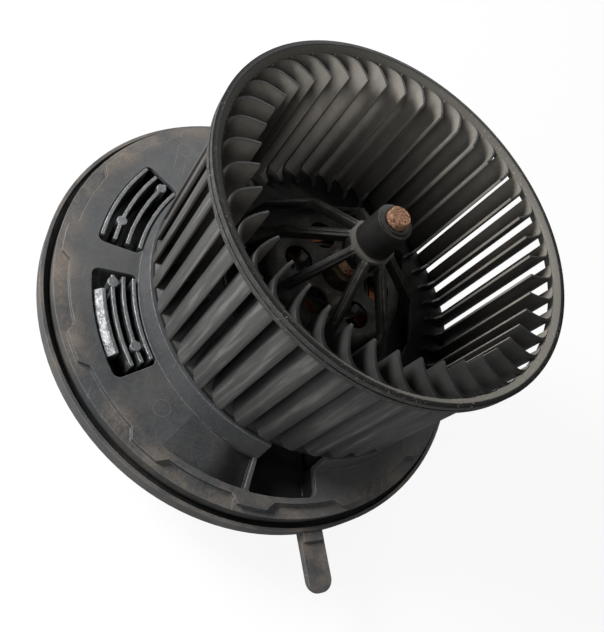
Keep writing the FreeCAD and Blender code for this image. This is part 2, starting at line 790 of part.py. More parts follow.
def make_insulators():
    body = new_body("stator_insulators")
    back = f"({STATOR_BORE} + stator_back_width)"
    arm_end = f"({STATOR_RADIUS} - tooth_tip_depth)"
    made = []
    for name, face, away in (("upper", STATOR_TOP, 1), ("lower", "stator_bottom_height", -1)):
        sheet_face = f"({face} + {away} * insulator_thickness)"
        wall_face = f"({face} + {away} * insulator_wall_height)"
        wall_inner = f"({back} - insulator_wall)"
        turned(body, name + "_ring", [
            (STATOR_BORE, face),
            (back, face),
            (back, wall_face),
            (wall_inner, wall_face),
            (wall_inner, sheet_face),
            (STATOR_BORE, sheet_face),
        ])
        low, high = (face, sheet_face) if away > 0 else (sheet_face, face)
        made.append(block(body, name + "_arm", (back + " - 0.6", arm_end),
                          ("-0.5 * tooth_width", "0.5 * tooth_width"), low, high))
    around(body, "arms", made, "tooth_count")
    return body


def make_windings():
    body = new_body("stator_windings")
    start = f"({STATOR_BORE} + stator_back_width + coil_margin)"
    end = f"({start} + coil_length)"
    half_inner = "(0.5 * tooth_width + coil_margin)"
    half_outer = f"({half_inner} + coil_depth)"
    inner_low = "(stator_bottom_height - insulator_thickness - coil_margin)"
    inner_high = f"({STATOR_TOP} + insulator_thickness + coil_margin)"
    coil = block(body, "coil", (start, end), ("-" + half_outer, half_outer),
                 inner_low + " - coil_depth", inner_high + " + coil_depth")
    window = coil_hole(body, "coil_window", start, end, half_inner, inner_low, inner_high)
    around(body, "coils", [coil, window], "tooth_count")
    return body


def coil_hole(body, name, start, end, half_width, low, high):
    """Square hole along X through a coil."""
    sketch = sketch_on(body, "XY_Plane", name + "_plan", height=high)
    outline(sketch, [
        (start + " - 1", "-" + half_width),
        (end + " + 1", "-" + half_width),
        (end + " + 1", half_width),
        (start + " - 1", half_width),
    ])
    return pocket(body, name, sketch, f"({high}) - ({low})")


def make_flange():
    body = new_body("flange_plate")
    middle = "-flange_offset"
    turned(body, "dish", [
        ("0", PLATE_UNDER),
        (EDGE_INNER, PLATE_UNDER),
        (EDGE_INNER, EDGE_UNDER),
        (STEP_INNER, EDGE_UNDER),
        (STEP_INNER, FLOOR_UNDER),
        ("flange_radius - rim_wall", FLOOR_UNDER),
        ("flange_radius - rim_wall", "-rim_depth"),
        ("flange_radius", "-rim_depth"),
        ("flange_radius", "0"),
        ("flange_radius - rim_wall", "0"),
        ("flange_radius - rim_wall", "-groove_depth"),
        (STEP_OUTER, "-groove_depth"),
        (STEP_OUTER, RING_TOP),
        ("lobe_radius", RING_TOP),
        ("lobe_radius", "plateau_height"),
        ("0", "plateau_height"),
    ], shift=middle)
    # recesses between the locating lobes, about the middle of the flange
    recess_inner = "(lobe_radius - lobe_recess)"
    recess_outer = "(lobe_radius + 0.2)"
    half_inner = "(0.5 * (lobe_pitch - lobe_angle) - lobe_chamfer_angle)"
    half_outer = "(0.5 * (lobe_pitch - lobe_angle))"
    for index in range(int(SIZES["recess_count"])):
        turn = f"recess_start + {index} * lobe_pitch"
        sketch = sketch_on(body, "XY_Plane", f"recess_{index}_plan", height="plateau_height",
                           shift=middle, turn=turn)
        outline(sketch, [
            polar(recess_inner, "-" + half_inner),
            polar(recess_outer, "-" + half_outer),
            polar(recess_outer, half_outer),
            polar(recess_inner, half_inner),
        ], {1: ("0", "0", recess_outer, "left"), 3: ("0", "0", recess_inner, "right")})
        pocket(body, f"recess_{index}", sketch, "plateau_height - step_ring_height")
    # raised dome round the fan, about the fan axis
    flank = "(dome_radius + dome_flank_width)"
    land = "(dome_radius - dome_land_width)"
    wall = "plate_thickness"
    bore(body, "dome_opening", f"{flank} - 0.5 * dome_flank_width",
         f"{PLATE_UNDER} - 1", "plateau_height + 1")
    turned(body, "dome", [
        (flank, PLATE_UNDER),
        (flank, "plateau_height"),
        ("dome_radius", "dome_height"),
        (land, "dome_height"),
        (f"throat_radius + {wall}", "throat_height"),
        ("throat_radius", "throat_height"),
        ("throat_radius", f"throat_height - {wall}"),
        (f"throat_radius + 1.3 * {wall}", f"throat_height - {wall}"),
        (land, f"dome_height - {wall}"),
        (f"dome_radius - {wall}", f"dome_height - {wall}"),
        (f"{flank} - {wall}", PLATE_UNDER),
    ])
    # windows over the heat sink fins
    for name, start in (("one", "window_start_one"), ("two", "window_start_two")):
        sketch = sketch_on(body, "XY_Plane", f"window_{name}_plan", height="plateau_height + 1")
        sector(sketch, "window_inner_radius", "window_outer_radius", start, f"({start} + window_angle)")
        pocket(body, f"window_{name}", sketch, "plate_thickness + 2")
    window_low = number("window_inner_radius") - 1
    window_high = number("window_outer_radius") + 1

    def at_window(point):
        angle = math.degrees(math.atan2(point.y, point.x)) % 360
        last = number("window_start_two + window_angle") + 1
        inside = window_low < math.hypot(point.x, point.y) < window_high
        return inside and number("window_start_one") - 1 < angle < last

    round_upright_edges(body, "window_corners", "window_corner_radius", at_window)
    # cooling air: a block under the plateau takes the ramp, which falls to the gap
    ramp_floor = "(plateau_height - ramp_fall - plate_thickness)"
    sketch = sketch_on(body, "XY_Plane", "ramp_block_plan", height=ramp_floor)
    sector(sketch, "ramp_inner_radius - 1.5", "(ramp_outer_radius + 1.5)", "ramp_start", "ramp_end", middle)
    pad(body, "ramp_block", sketch, PLATE_UNDER + " - " + ramp_floor + " + 0.5")
    sections = []
    steps = 4
    for index in range(steps + 1):
        share = index / steps
        turn = f"ramp_start + {share} * (ramp_end - ramp_start + 0.4)"
        section = sketch_on(body, "XZ_Plane", f"ramp_section_{index}", turn=turn)
        outer = polar_distance("ramp_outer_radius", turn, middle)
        floor = f"plateau_height - 0.02 - {share} * ramp_fall"
        outline(section, [
            ("ramp_inner_radius", floor),
            (outer, floor),
            (outer, "plateau_height + 3"),
            ("ramp_inner_radius", "plateau_height + 3"),
        ])
        sections.append(section)
    ramp = feature(body, "SubtractiveLoft", "ramp", sections[0])
    ramp.Sections = sections[1:]
    ramp.Ruled = True
    # the scoop under the gap: a floor that leads the air inwards, with a wall round its outside
    scoop_under = "(scoop_floor_height - scoop_wall)"
    scoop_outer = "(air_gap_outer_radius + scoop_wall)"
    side_angle = "(scoop_wall / dome_radius * 180 / pi)"
    scoop_range = (f"(air_gap_start - {side_angle})", f"(air_gap_end + {side_angle})")
    sketch = sketch_on(body, "XY_Plane", "scoop_wall_plan", height=scoop_under)
    sector(sketch, "dome_radius", scoop_outer, *scoop_range, middle)
    pad(body, "scoop_walls", sketch, f"{PLATE_UNDER} + 0.5 - {scoop_under}")
    sketch = sketch_on(body, "XY_Plane", "air_gap_plan", height="dome_height + 1")
    sector(sketch, "air_gap_inner_radius", "air_gap_outer_radius", "air_gap_start", "air_gap_end", middle)
    pocket(body, "air_gap", sketch, "dome_height + 1 - scoop_floor_height")
    sketch = sketch_on(body, "XY_Plane", "scoop_floor_plan", height=scoop_under)
    sector(sketch, "scoop_inner_radius", scoop_outer, *scoop_range, middle)
    pad(body, "scoop_floor", sketch, "scoop_wall")
    gap_far = number("air_gap_end")

    def at_gap_corner(point):
        angle = math.degrees(math.atan2(point.y, point.x)) % 360
        reach = math.hypot(point.x, point.y)
        return abs(angle - gap_far) < 0.3 and reach > number("dome_radius + dome_flank_width")

    round_upright_edges(body, "air_gap_corners", "air_gap_corner_radius", at_gap_corner)
    # latch tongue beyond the rim
    reach = "(flange_radius + tongue_reach)"
    half = "(0.5 * tongue_width)"
    tongue_top = "(-tongue_drop)"
    sketch = sketch_on(body, "XY_Plane", "tongue_plan", height=tongue_top + " - tongue_thickness",
                       shift=middle, turn="tongue_angle")
    bend = (reach + " - " + half, "0", half, "left")
    outline(sketch, [
        ("flange_radius - 0.5 * rim_wall", "-" + half),
        (reach + " - " + half, "-" + half),
        (reach, "0"),
        (reach + " - " + half, half),
        ("flange_radius - 0.5 * rim_wall", half),
    ], {1: bend, 2: bend})
    pad(body, "tongue", sketch, "tongue_thickness")
    block_turned = sketch_on(body, "XY_Plane", "tongue_root_plan", height=tongue_top,
                             shift=middle, turn="tongue_angle")
    outline(block_turned, [
        ("flange_radius - 0.5 * rim_wall", "-" + half + " + 0.8"),
        ("flange_radius + tongue_root_length", "-" + half + " + 0.8"),
        ("flange_radius + tongue_root_length", half + " - 0.8"),
        ("flange_radius - 0.5 * rim_wall", half + " - 0.8"),
    ])
    pad(body, "tongue_root", block_turned, "0.6 * tongue_drop")
    # bosses under the plateau for the heat sink screws
    for angle in BUSH_ANGLES:
        x, y = flange_point("bush_boss_circle", angle)
        disc(body, f"bush_boss_{angle}", "bush_boss_radius", BOSS_UNDER, PLATE_UNDER + " + 0.5", x, y)
        bore(body, f"bush_pilot_{angle}", PILOT_RADIUS, BOSS_UNDER, PLATE_UNDER, x, y)
    return body


def polar_distance(radius, angle, centre):
    """Distance from the fan axis to a circle centred on X, along an angle."""
    return f"({centre} * cos({angle}) + sqrt(({radius})^2 - ({centre} * sin({angle}))^2))"


def make_heat_sink():
    body = new_body("heat_sink")
    middle = "-flange_offset"
    disc(body, "base", "sink_radius", SINK_UNDER, SINK_TOP, x=middle)
    disc(body, "hub", "sink_hub_radius", SINK_TOP, "sink_hub_height")
    # the fins stand up through the windows of the flange
    outer_face = "(window_outer_radius - fin_window_gap)"
    room = "(window_outer_radius - window_inner_radius - 2 * fin_window_gap - fin_thickness)"
    pitch_one = f"({room} / 3)"
    plate_room = "(cast_plate_width + cast_plate_gap)"
    pitch_two = f"(({room} - {plate_room} - fin_window_gap) / 2)"
    fins_one = [f"({outer_face} - {index} * {pitch_one})" for index in range(4)]
    fins_two = [f"({outer_face} - {plate_room} - {index} * {pitch_two})" for index in range(3)]
    for window, start, faces in (
        ("one", "window_start_one", fins_one),
        ("two", "window_start_two", fins_two),
    ):
        for index, face in enumerate(faces):
            turned(body, f"fin_{window}_{index}", [
                (f"{face} - fin_thickness", SINK_TOP),
                (face, SINK_TOP),
                (face, "fin_height"),
                (f"{face} - fin_thickness", "fin_height"),
            ], angle="window_angle - 2 * fin_end_angle", turn=f"{start} + fin_end_angle")
    turned(body, "cast_plate", [
        (f"{outer_face} - cast_plate_width", SINK_TOP),
        (outer_face, SINK_TOP),
        (outer_face, "fin_height - cast_plate_fall"),
        (f"{outer_face} - cast_plate_width + fin_thickness", "fin_height"),
        (f"{outer_face} - cast_plate_width", "fin_height"),
    ], angle="window_angle - 2 * cast_plate_end_angle", turn="window_start_two + cast_plate_end_angle")
    for name, face, angle in (
        ("a", fins_one[1], "window_start_one + 0.73 * window_angle"),
        ("b", fins_one[2], "window_start_one + 0.13 * window_angle"),
        ("c", fins_two[0], "window_start_two + 0.13 * window_angle"),
        ("d", fins_two[1], "window_start_two + 0.78 * window_angle"),
    ):
        x, y = polar(f"({face} - 0.5 * fin_thickness)", f"({angle})")
        disc(body, f"fin_boss_{name}", "fin_boss_radius", SINK_TOP, "fin_height + fin_boss_height", x, y)
    bore(body, "tube_bore", "tube_radius + press_clearance", SINK_UNDER, "sink_hub_height")
    for angle in BUSH_ANGLES:
        x, y = flange_point("bush_boss_circle", angle)
        bore(body, f"bush_hole_{angle}", THROUGH_RADIUS, SINK_UNDER, SINK_TOP, x, y)
    for angle in PILLAR_ANGLES:
        x, y = flange_point("pillar_circle", angle)
        disc(body, f"pillar_{angle}", "pillar_radius", BOARD_TOP, SINK_UNDER, x, y)
        bore(body, f"pillar_hole_{angle}", "small_screw_shank_radius + running_clearance",
             BOARD_TOP, SINK_TOP + " - 1", x, y)
    for angle in POST_ANGLES:
        x, y = flange_point("cover_post_circle", angle)
        bore(body, f"post_hole_{angle}", PILOT_RADIUS, SINK_UNDER, SINK_TOP + " - 0.6", x, y)
    return body


def make_bushes():
    body = new_body("damper_bushes")
    for angle in BUSH_ANGLES:
        x, y = flange_point("bush_boss_circle", angle)
        disc(body, f"bush_{angle}", "bush_radius", SINK_TOP, BOSS_UNDER, x, y)
        bore(body, f"bush_bore_{angle}", THROUGH_RADIUS, SINK_TOP, BOSS_UNDER, x, y)
    return body


def make_screws(label, circle_radius, angles, seat, shank, head_radius, head_height, shank_radius):
    """Pan-head screws from below: the head hangs under its seat, the shank goes up."""
    body = new_body(label)
    for angle in angles:
        x, y = flange_point(circle_radius, angle)
        disc(body, f"head_{angle}", head_radius, f"{seat} - {head_height}", seat, x, y)
        disc(body, f"shank_{angle}", shank_radius, seat, f"{seat} + {shank}", x, y)
        bore(body, f"socket_{angle}", f"0.5 * {head_radius}", f"{seat} - {head_height}",
             f"{seat} - 0.45 * {head_height}", x, y)
    return body


def make_board():
    body = new_body("circuit_board")
    middle = "-flange_offset"
    disc(body, "board", "board_radius", BOARD_UNDER, BOARD_TOP, x=middle)
    for angle in PILLAR_ANGLES:
        x, y = flange_point("pillar_circle", angle)
        bore(body, f"screw_hole_{angle}", "small_screw_shank_radius + slide_clearance",
             BOARD_UNDER, BOARD_TOP, x, y)
    for index in range(int(SIZES["pin_count"])):
        x, y = pin_place(index)
        bore(body, f"pin_hole_{index}", "0.5 * pin_width * sqrt(2) + running_clearance",
             BOARD_UNDER, BOARD_TOP, x, y)
    return body


def pin_place(index):
    """Where a connector pin turns up through the board."""
    middle_index = (SIZES["pin_count"] - 1) / 2
    x = "socket_inner_end - 2 * pin_width - flange_offset"
    y = f"({index - middle_index}) * pin_pitch"
    return x, y


TRANSISTOR_X = (
    "transistor_circle - 0.5 * transistor_length",
    "transistor_circle + 0.5 * transistor_length",
)
TRANSISTOR_Y = ("-0.5 * transistor_width", "0.5 * transistor_width")


def make_transistors():
    body = new_body("power_transistors")
    made = block(body, "package", TRANSISTOR_X, TRANSISTOR_Y,
                 BOARD_TOP, SINK_UNDER + " - pad_thickness", turn="transistor_turn")
    around(body, "packages", [made], "transistor_count")
    return body


def make_thermal_pads():
    body = new_body("thermal_pads")
    made = block(body, "pad", TRANSISTOR_X, TRANSISTOR_Y,
                 SINK_UNDER + " - pad_thickness", SINK_UNDER, turn="transistor_turn")
    around(body, "pads", [made], "transistor_count")
    return body


def make_capacitors():
    body = new_body("capacitors")
    for index in range(3):
        x = f"({index} - 1) * capacitor_pitch - flange_offset"
        disc(body, f"can_{index}", "capacitor_radius", BOARD_UNDER + " - capacitor_height",
             BOARD_UNDER, x, "capacitor_row")
    return body


def make_choke_core():
    body = new_body("choke_core")
    x, y = "-flange_offset", "-choke_distance"
    low = BOARD_UNDER + " - choke_height"
    disc(body, "foot", "choke_radius", BOARD_UNDER + " - choke_flange", BOARD_UNDER, x, y)
    disc(body, "stem", "choke_core_radius", low + " + choke_flange", BOARD_UNDER + " - choke_flange", x, y)
    disc(body, "cap", "choke_radius", low, low + " + choke_flange", x, y)
    return body


def make_choke_winding():
    body = new_body("choke_winding")
    x, y = "-flange_offset", "-choke_distance"
    low = BOARD_UNDER + " - choke_height + choke_flange"
    high = BOARD_UNDER + " - choke_flange"
    disc(body, "coil", "choke_radius - choke_coil_inset", low, high, x, y)
    bore(body, "coil_bore", "choke_core_radius + press_clearance", low, high, x, y)
    return body


def make_rear_cover():
    body = new_body("rear_cover")
    middle = "-flange_offset"
    inner = f"({COVER_OUTER} - cover_wall)"
    turned(body, "tub", [
        ("0", COVER_UNDER),
        (COVER_OUTER + " - cover_taper - cover_chamfer", COVER_UNDER),
        (COVER_OUTER + " - cover_taper", COVER_UNDER + " + cover_chamfer"),
        (COVER_OUTER, FLOOR_UNDER + " - cover_lip_thickness"),
        (COVER_LIP, FLOOR_UNDER + " - cover_lip_thickness"),
        (COVER_LIP, FLOOR_UNDER),
        (COVER_OUTER, FLOOR_UNDER),
        (COVER_OUTER, FLOOR_UNDER + " + cover_spigot_height"),
        (inner, FLOOR_UNDER + " + cover_spigot_height"),
        (inner, FLOOR_UNDER + " - cover_lip_thickness"),
        (inner + " - cover_taper", COVER_FLOOR + " + cover_chamfer"),
        (inner + " - cover_taper - cover_chamfer", COVER_FLOOR),
        ("0", COVER_FLOOR),
    ], shift=middle)
    for angle in POST_ANGLES:
        x, y = flange_point("cover_post_circle", angle)
        disc(body, f"post_{angle}", "cover_post_radius", COVER_FLOOR + " - 0.5", SINK_UNDER, x, y)
        bore(body, f"post_bore_{angle}", THROUGH_RADIUS, COVER_UNDER, SINK_UNDER, x, y)
        bore(body, f"post_recess_{angle}", "screw_head_radius + slide_clearance",
             COVER_UNDER, COVER_UNDER + " + cover_wall + screw_head_height", x, y)
    gap = "slide_clearance"
    half = f"(0.5 * socket_width + {gap})"
    notch_start = f"{inner} - flange_offset - cover_taper - cover_chamfer - cover_wall"
    notch(body, "socket_notch", (notch_start, COVER_LIP + " - flange_offset + 1"),
          (f"-{half}", half), f"{BOARD_UNDER} - socket_height - {gap}", f"{BOARD_UNDER} + {gap}")
    return body


def make_socket():
    body = new_body("connector_socket")
    low = BOARD_UNDER + " - socket_height"
    inner_end = "socket_inner_end - flange_offset"
    outer_end = SOCKET_END + " - flange_offset"
    half = "(0.5 * socket_width)"
    block(body, "shell", (inner_end, outer_end), ("-" + half, half), low, BOARD_UNDER)
    mouth = sketch_on(body, "YZ_Plane", "mouth_face", height=outer_end)
    outline(mouth, [
        ("-" + half + " + socket_wall", low + " + socket_wall"),
        (half + " - socket_wall", low + " + socket_wall"),
        (half + " - socket_wall", BOARD_UNDER + " - socket_wall"),
        ("-" + half + " + socket_wall", BOARD_UNDER + " - socket_wall"),
    ])
    pocket(body, "mouth", mouth, "socket_depth")
    for index in range(int(SIZES["pin_count"])):
        _, y = pin_place(index)
        middle = f"({low} + 0.5 * socket_height)"
        half_slot = "(0.5 * pin_width + press_clearance)"
        slot = sketch_on(body, "YZ_Plane", f"pin_slot_{index}_face", height=outer_end)
        outline(slot, [
            (f"{y} - {half_slot}", f"{middle} - {half_slot}"),
            (f"{y} + {half_slot}", f"{middle} - {half_slot}"),
            (f"{y} + {half_slot}", f"{middle} + {half_slot}"),
            (f"{y} - {half_slot}", f"{middle} + {half_slot}"),
        ])
        pocket(body, f"pin_slot_{index}", slot, SOCKET_END + " - socket_inner_end")
    return body


def make_pins():
    body = new_body("connector_pins")
    middle = BOARD_UNDER + " - 0.5 * socket_height"
    for index in range(int(SIZES["pin_count"])):
        x, y = pin_place(index)
        half = "0.5 * pin_width"
        reach = SOCKET_END + " - socket_depth - flange_offset + pin_reach"
        block(body, f"blade_{index}", (f"{x} - {half}", reach), (f"{y} - {half}", f"{y} + {half}"),
              f"{middle} - {half}", f"{middle} + {half}")
        block(body, f"leg_{index}", (f"{x} - {half}", f"{x} + {half}"), (f"{y} - {half}", f"{y} + {half}"),
              f"{middle} - {half}", BOARD_TOP + " + pin_solder_length")
    return body


bodies = [
    make_impeller(),
    make_shaft(),
    make_retaining_ring(),
    make_rotor_hub(),
    make_rotor_can(),
    make_magnets(),
    make_spacer(),
    make_bearing("upper_bearing", UPPER_BEARING_UNDER, UPPER_BEARING_TOP),
    make_bearing("lower_bearing", LOWER_BEARING_UNDER, LOWER_BEARING_TOP),
    make_wave_washer(),
    make_bearing_tube(),
    make_stator_core(),
    make_insulators(),
    make_windings(),
    make_flange(),
    make_heat_sink(),
    make_bushes(),
    make_screws("flange_screws", "bush_boss_circle", BUSH_ANGLES, SINK_UNDER,
                "(sink_base_thickness + bush_height + screw_grip - flange_screw_tip_gap)",
                "screw_head_radius", "screw_head_height", "screw_shank_radius"),
    make_board(),
    make_screws("board_screws", "pillar_circle", PILLAR_ANGLES, BOARD_UNDER,
                "(board_thickness + pillar_height + sink_base_thickness - board_screw_tip_gap)",
                "small_screw_head_radius", "small_screw_head_height", "small_screw_shank_radius"),
    make_transistors(),
    make_thermal_pads(),
    make_capacitors(),
    make_choke_core(),
    make_choke_winding(),
    make_rear_cover(),
    make_screws("cover_screws", "cover_post_circle", POST_ANGLES,
                "(cover_wall + screw_head_height - cover_depth)",
                "(cover_depth - cover_wall - screw_head_height - sink_base_depth"
                " + sink_base_thickness - cover_screw_tip_gap)",
                "screw_head_radius", "screw_head_height", "screw_shank_radius"),
    make_socket(),
    make_pins(),
]
for body in bodies:
    body.setExpression("Placement.Base.x", ex("flange_offset"))
doc.recompute()

# Nothing is written unless every object and every shape is sound
for item in doc.Objects:
    if "Invalid" in item.State or "Error" in item.State:
        raise RuntimeError(f"{item.Name} failed: {item.State}")
os.makedirs("parts", exist_ok=True)
for body in bodies:
    if body.Shape.isNull() or not body.Shape.isValid():
        raise RuntimeError(f"{body.Label} has no valid shape")
    print(body.Label, "solids", len(body.Shape.Solids), "volume", round(body.Shape.Volume, 1))
for body in bodies:
    body.Shape.exportStep(f"parts/{body.Label}.step")
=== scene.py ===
import math

import bmesh
import bpy
from mathutils import Matrix, Vector


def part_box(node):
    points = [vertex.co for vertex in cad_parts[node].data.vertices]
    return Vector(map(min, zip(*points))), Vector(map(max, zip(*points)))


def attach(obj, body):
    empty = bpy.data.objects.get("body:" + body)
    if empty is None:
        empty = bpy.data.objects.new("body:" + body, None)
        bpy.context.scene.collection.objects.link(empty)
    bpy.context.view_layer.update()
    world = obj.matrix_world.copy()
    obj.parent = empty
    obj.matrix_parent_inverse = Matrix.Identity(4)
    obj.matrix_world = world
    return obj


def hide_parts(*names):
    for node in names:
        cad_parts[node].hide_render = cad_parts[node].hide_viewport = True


bl_info = {
    "name": "Blower motor",
    "version": (1, 0, 0),
    "blender": (4, 5, 0),
    "location": "3D View > Sidebar > Blower",
    "description": "Dresses the packed blower motor with its drum, flange, casting, finishes and stage",
    "category": "Object",
}

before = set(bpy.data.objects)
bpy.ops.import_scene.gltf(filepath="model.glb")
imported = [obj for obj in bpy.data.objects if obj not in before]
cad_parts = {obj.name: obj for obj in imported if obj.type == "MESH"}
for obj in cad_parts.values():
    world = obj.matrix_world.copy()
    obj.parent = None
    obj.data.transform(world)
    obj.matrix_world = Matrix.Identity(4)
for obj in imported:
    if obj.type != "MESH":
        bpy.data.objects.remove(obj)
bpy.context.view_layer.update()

MM = 0.001
# The flange's axis is the origin's, and the fan's stands off it along X
DRUM_LOW, DRUM_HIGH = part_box("impeller")
FAN_X = 0.5 * (DRUM_LOW.x + DRUM_HIGH.x)
FLOOR_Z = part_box("rear_cover")[0].z
TURN = 2 * math.pi
ORIGIN = (0, 0, 0)
AXIS = (0, 0, 1)
WHITE = (1, 1, 1, 1)

# Sizes of the drum that the panel leaves alone, in metres. A sink is how far a piece runs into its
# neighbour, and a drop how far it starts below the collar's top.
BLADE_TOP_DROP = 0.6 * MM
BLADE_SINK = 1.0 * MM
BLADE_STEPS = 10
BLADE_ENTRY_STEPS = 3
FOOT_LENGTH = 5 * MM
FOOT_HEIGHT = 3.4 * MM
FOOT_SINK = 1.0 * MM
# From this reach on, the blades' tops fall by this many metres for each square metre
TIP_FALL_START = 66 * MM
TIP_FALL = 0.06 / MM
RING_HEIGHT = 4.8 * MM
RING_WALL = 4.2 * MM
RING_TOP_WIDTH = 1.8 * MM
RING_FOOT_HEIGHT = 2.4 * MM
GROOVE_HEIGHT = 0.8 * MM
GROOVE_DEPTH = 0.5 * MM
BASE_THICKNESS = 2 * MM
BASE_INNER = 44.7 * MM
BASE_SHOULDER = 57 * MM
BASE_SHOULDER_INSET = 0.4 * MM
BASE_OUTER = 71.2 * MM
BASE_RIM = 2.5 * MM
BASE_RIM_WIDTH = 1.0 * MM
LIP_WIDTH = 1.5 * MM
LIP_HEIGHT = 0.6 * MM
SHAFT_BORE = 4.52 * MM
BOSS_BASE = 8.3 * MM
BOSS_NECK = 7.5 * MM
BOSS_LIP = 6.3 * MM
BOSS_TOP = 82.3 * MM
BOSS_LIP_HEIGHT = 1.0 * MM
BOSS_LENGTH = 25 * MM
BOSS_STEPS = 72
COLLAR_RADIUS = 10.1 * MM
COLLAR_DEPTH = 5.5 * MM
SPOKE_WIDTH = 3.6 * MM
SPOKE_DEPTH = 4.6 * MM
SPOKE_SINK = 0.5 * MM
SPOKE_DROP = 0.3 * MM
SHOULDER_HEIGHT = 50 * MM
RIB_WIDTH = 1.2 * MM
RIB_HEIGHT = 0.8 * MM
RIB_DROP = 0.7 * MM
RIB_ROOT = 2.5 * MM
RIB_END = 1.0 * MM
FLARE_WIDTH = 12.5 * MM
TURNED_STEPS = 192
# Widths of the rounded edges
BLADE_EDGE = 0.16 * MM
RING_EDGE = 0.18 * MM
BASE_EDGE = 0.25 * MM
SPIDER_EDGE = 0.3 * MM

# Where a finish, a painted shade or a painted highlight starts and where it is full: heights from the
# rim's plane, and reaches from the fan's axis or the flange's
# Blades: the dust on their hollow sides thins downwards over these heights, as painted shade
BLADE_DUST_SHADE_HEIGHTS = (30 * MM, 84 * MM)
BLADE_WORN_REACHES = (68.5 * MM, 72.5 * MM)
COLLAR_DUST_REACHES = (11.5 * MM, 10.5 * MM)
COLLAR_DUST_TOP = (68.3 * MM, 67.6 * MM)
COLLAR_DUST_FOOT = (65.0 * MM, 66.5 * MM)
FLANGE_DUST_REACHES = (84 * MM, 92 * MM)
# Painted shade on the flange: heights and reaches of its hollow by the ramp and of its groove by the rim
HOLLOW_SHADE_HEIGHTS = (4.8 * MM, 3.0 * MM)
HOLLOW_SHADE_REACHES = (89 * MM, 87.5 * MM)
GROOVE_SHADE_HEIGHTS = (-0.4 * MM, -1.4 * MM)
GROOVE_SHADE_INNER_REACHES = (94.8 * MM, 95.4 * MM)
GROOVE_SHADE_OUTER_REACHES = (98.2 * MM, 97.6 * MM)
CASTING_SHADE_HEIGHTS = (5.5 * MM, -6.0 * MM)
CASTING_HIGHLIGHT_TOP_HEIGHTS = (6.0 * MM, 7.0 * MM)
CASTING_HIGHLIGHT_EDGE_HEIGHTS = (4.0 * MM, 7.0 * MM)
# Pale dust on the can: middle from the fan's axis and the rim's plane, and radius
PATCH = (-6 * MM, -9 * MM, 41 * MM)
PATCH_RADIUS = 13 * MM
# Round marks of the mould's pins on the flange: distance and angle from its middle, and radius. Then how
# far off that radius their line starts and is full
EJECTOR_MARKS = ((76 * MM, 237.2, 3.4 * MM), (82.7 * MM, 132.2, 3.4 * MM))
EJECTOR_MARK_WIDTHS = (0.30 * MM, 0.08 * MM)
# Pitch, in metres, of a wave texture's bands at a scale of 1
WAVE_PERIOD = 0.314
BEVEL_SAMPLES = 4
# Scratches of the flange: turn about its axis, and scale along three directions
SCRATCHES = ((0.35, (1500, 26, 60)), (1.9, (1300, 22, 60)), (2.7, (1700, 34, 60)))

# Dust, lint, rubbed places and painted highlights that the panel leaves alone
DRUM_DUST = (0.165, 0.152, 0.132)
DRUM_RUBBED_AND_HIGHLIT = (0.13, 0.128, 0.125)
RING_LINT = (0.34, 0.32, 0.28)
RING_RUBBED_AND_SHEEN = (0.085, 0.084, 0.082)
BASE_DUST = (0.05, 0.046, 0.04)
BOSS_DUST = (0.085, 0.08, 0.07)
CAN_BLACK = (0.010, 0.010, 0.009)
CAN_DUST = (0.19, 0.175, 0.145)
CASTING_HIGHLIGHT = (0.21, 0.215, 0.22)
RUST_PALE = (0.62, 0.46, 0.36)

# Camera: its place, its directions and its small shift
CAMERA_PLACE = (FAN_X - 0.11138, -0.16736, 0.25269)
CAMERA_RIGHT = Vector((0.87301, 0.08892, 0.47953))
CAMERA_DOWN = Vector((0.30533, -0.86636, -0.39522))
CAMERA_AHEAD = Vector((0.38030, 0.49144, -0.78349))
CAMERA_SHIFT = (-0.01703, 0.03851)
CAMERA_CLIP = (0.01, 20.0)
# Lamps: name, place, size, and share of the main lamp's power
LAMPS = (
    ("Key lamp", (-0.85, 0.18, 0.50), 0.40, 1.0),
    ("Fill lamp", (-0.50, -0.70, 0.48), 0.5, 0.2),
    ("Back lamp", (0.25, 0.75, 0.6), 0.6, 0.15),
)
LAMP_AIM = Vector((0, 0, 0.03))
FLOOR_SIZE = 6.0
FLOOR_TONE = (0.30, 0.30, 0.30)
FLOOR_TONE_SEEN = (0.86, 0.86, 0.86)
FLOOR_GLOW = 0.9
WORLD_LIGHT = 0.15


# Settings


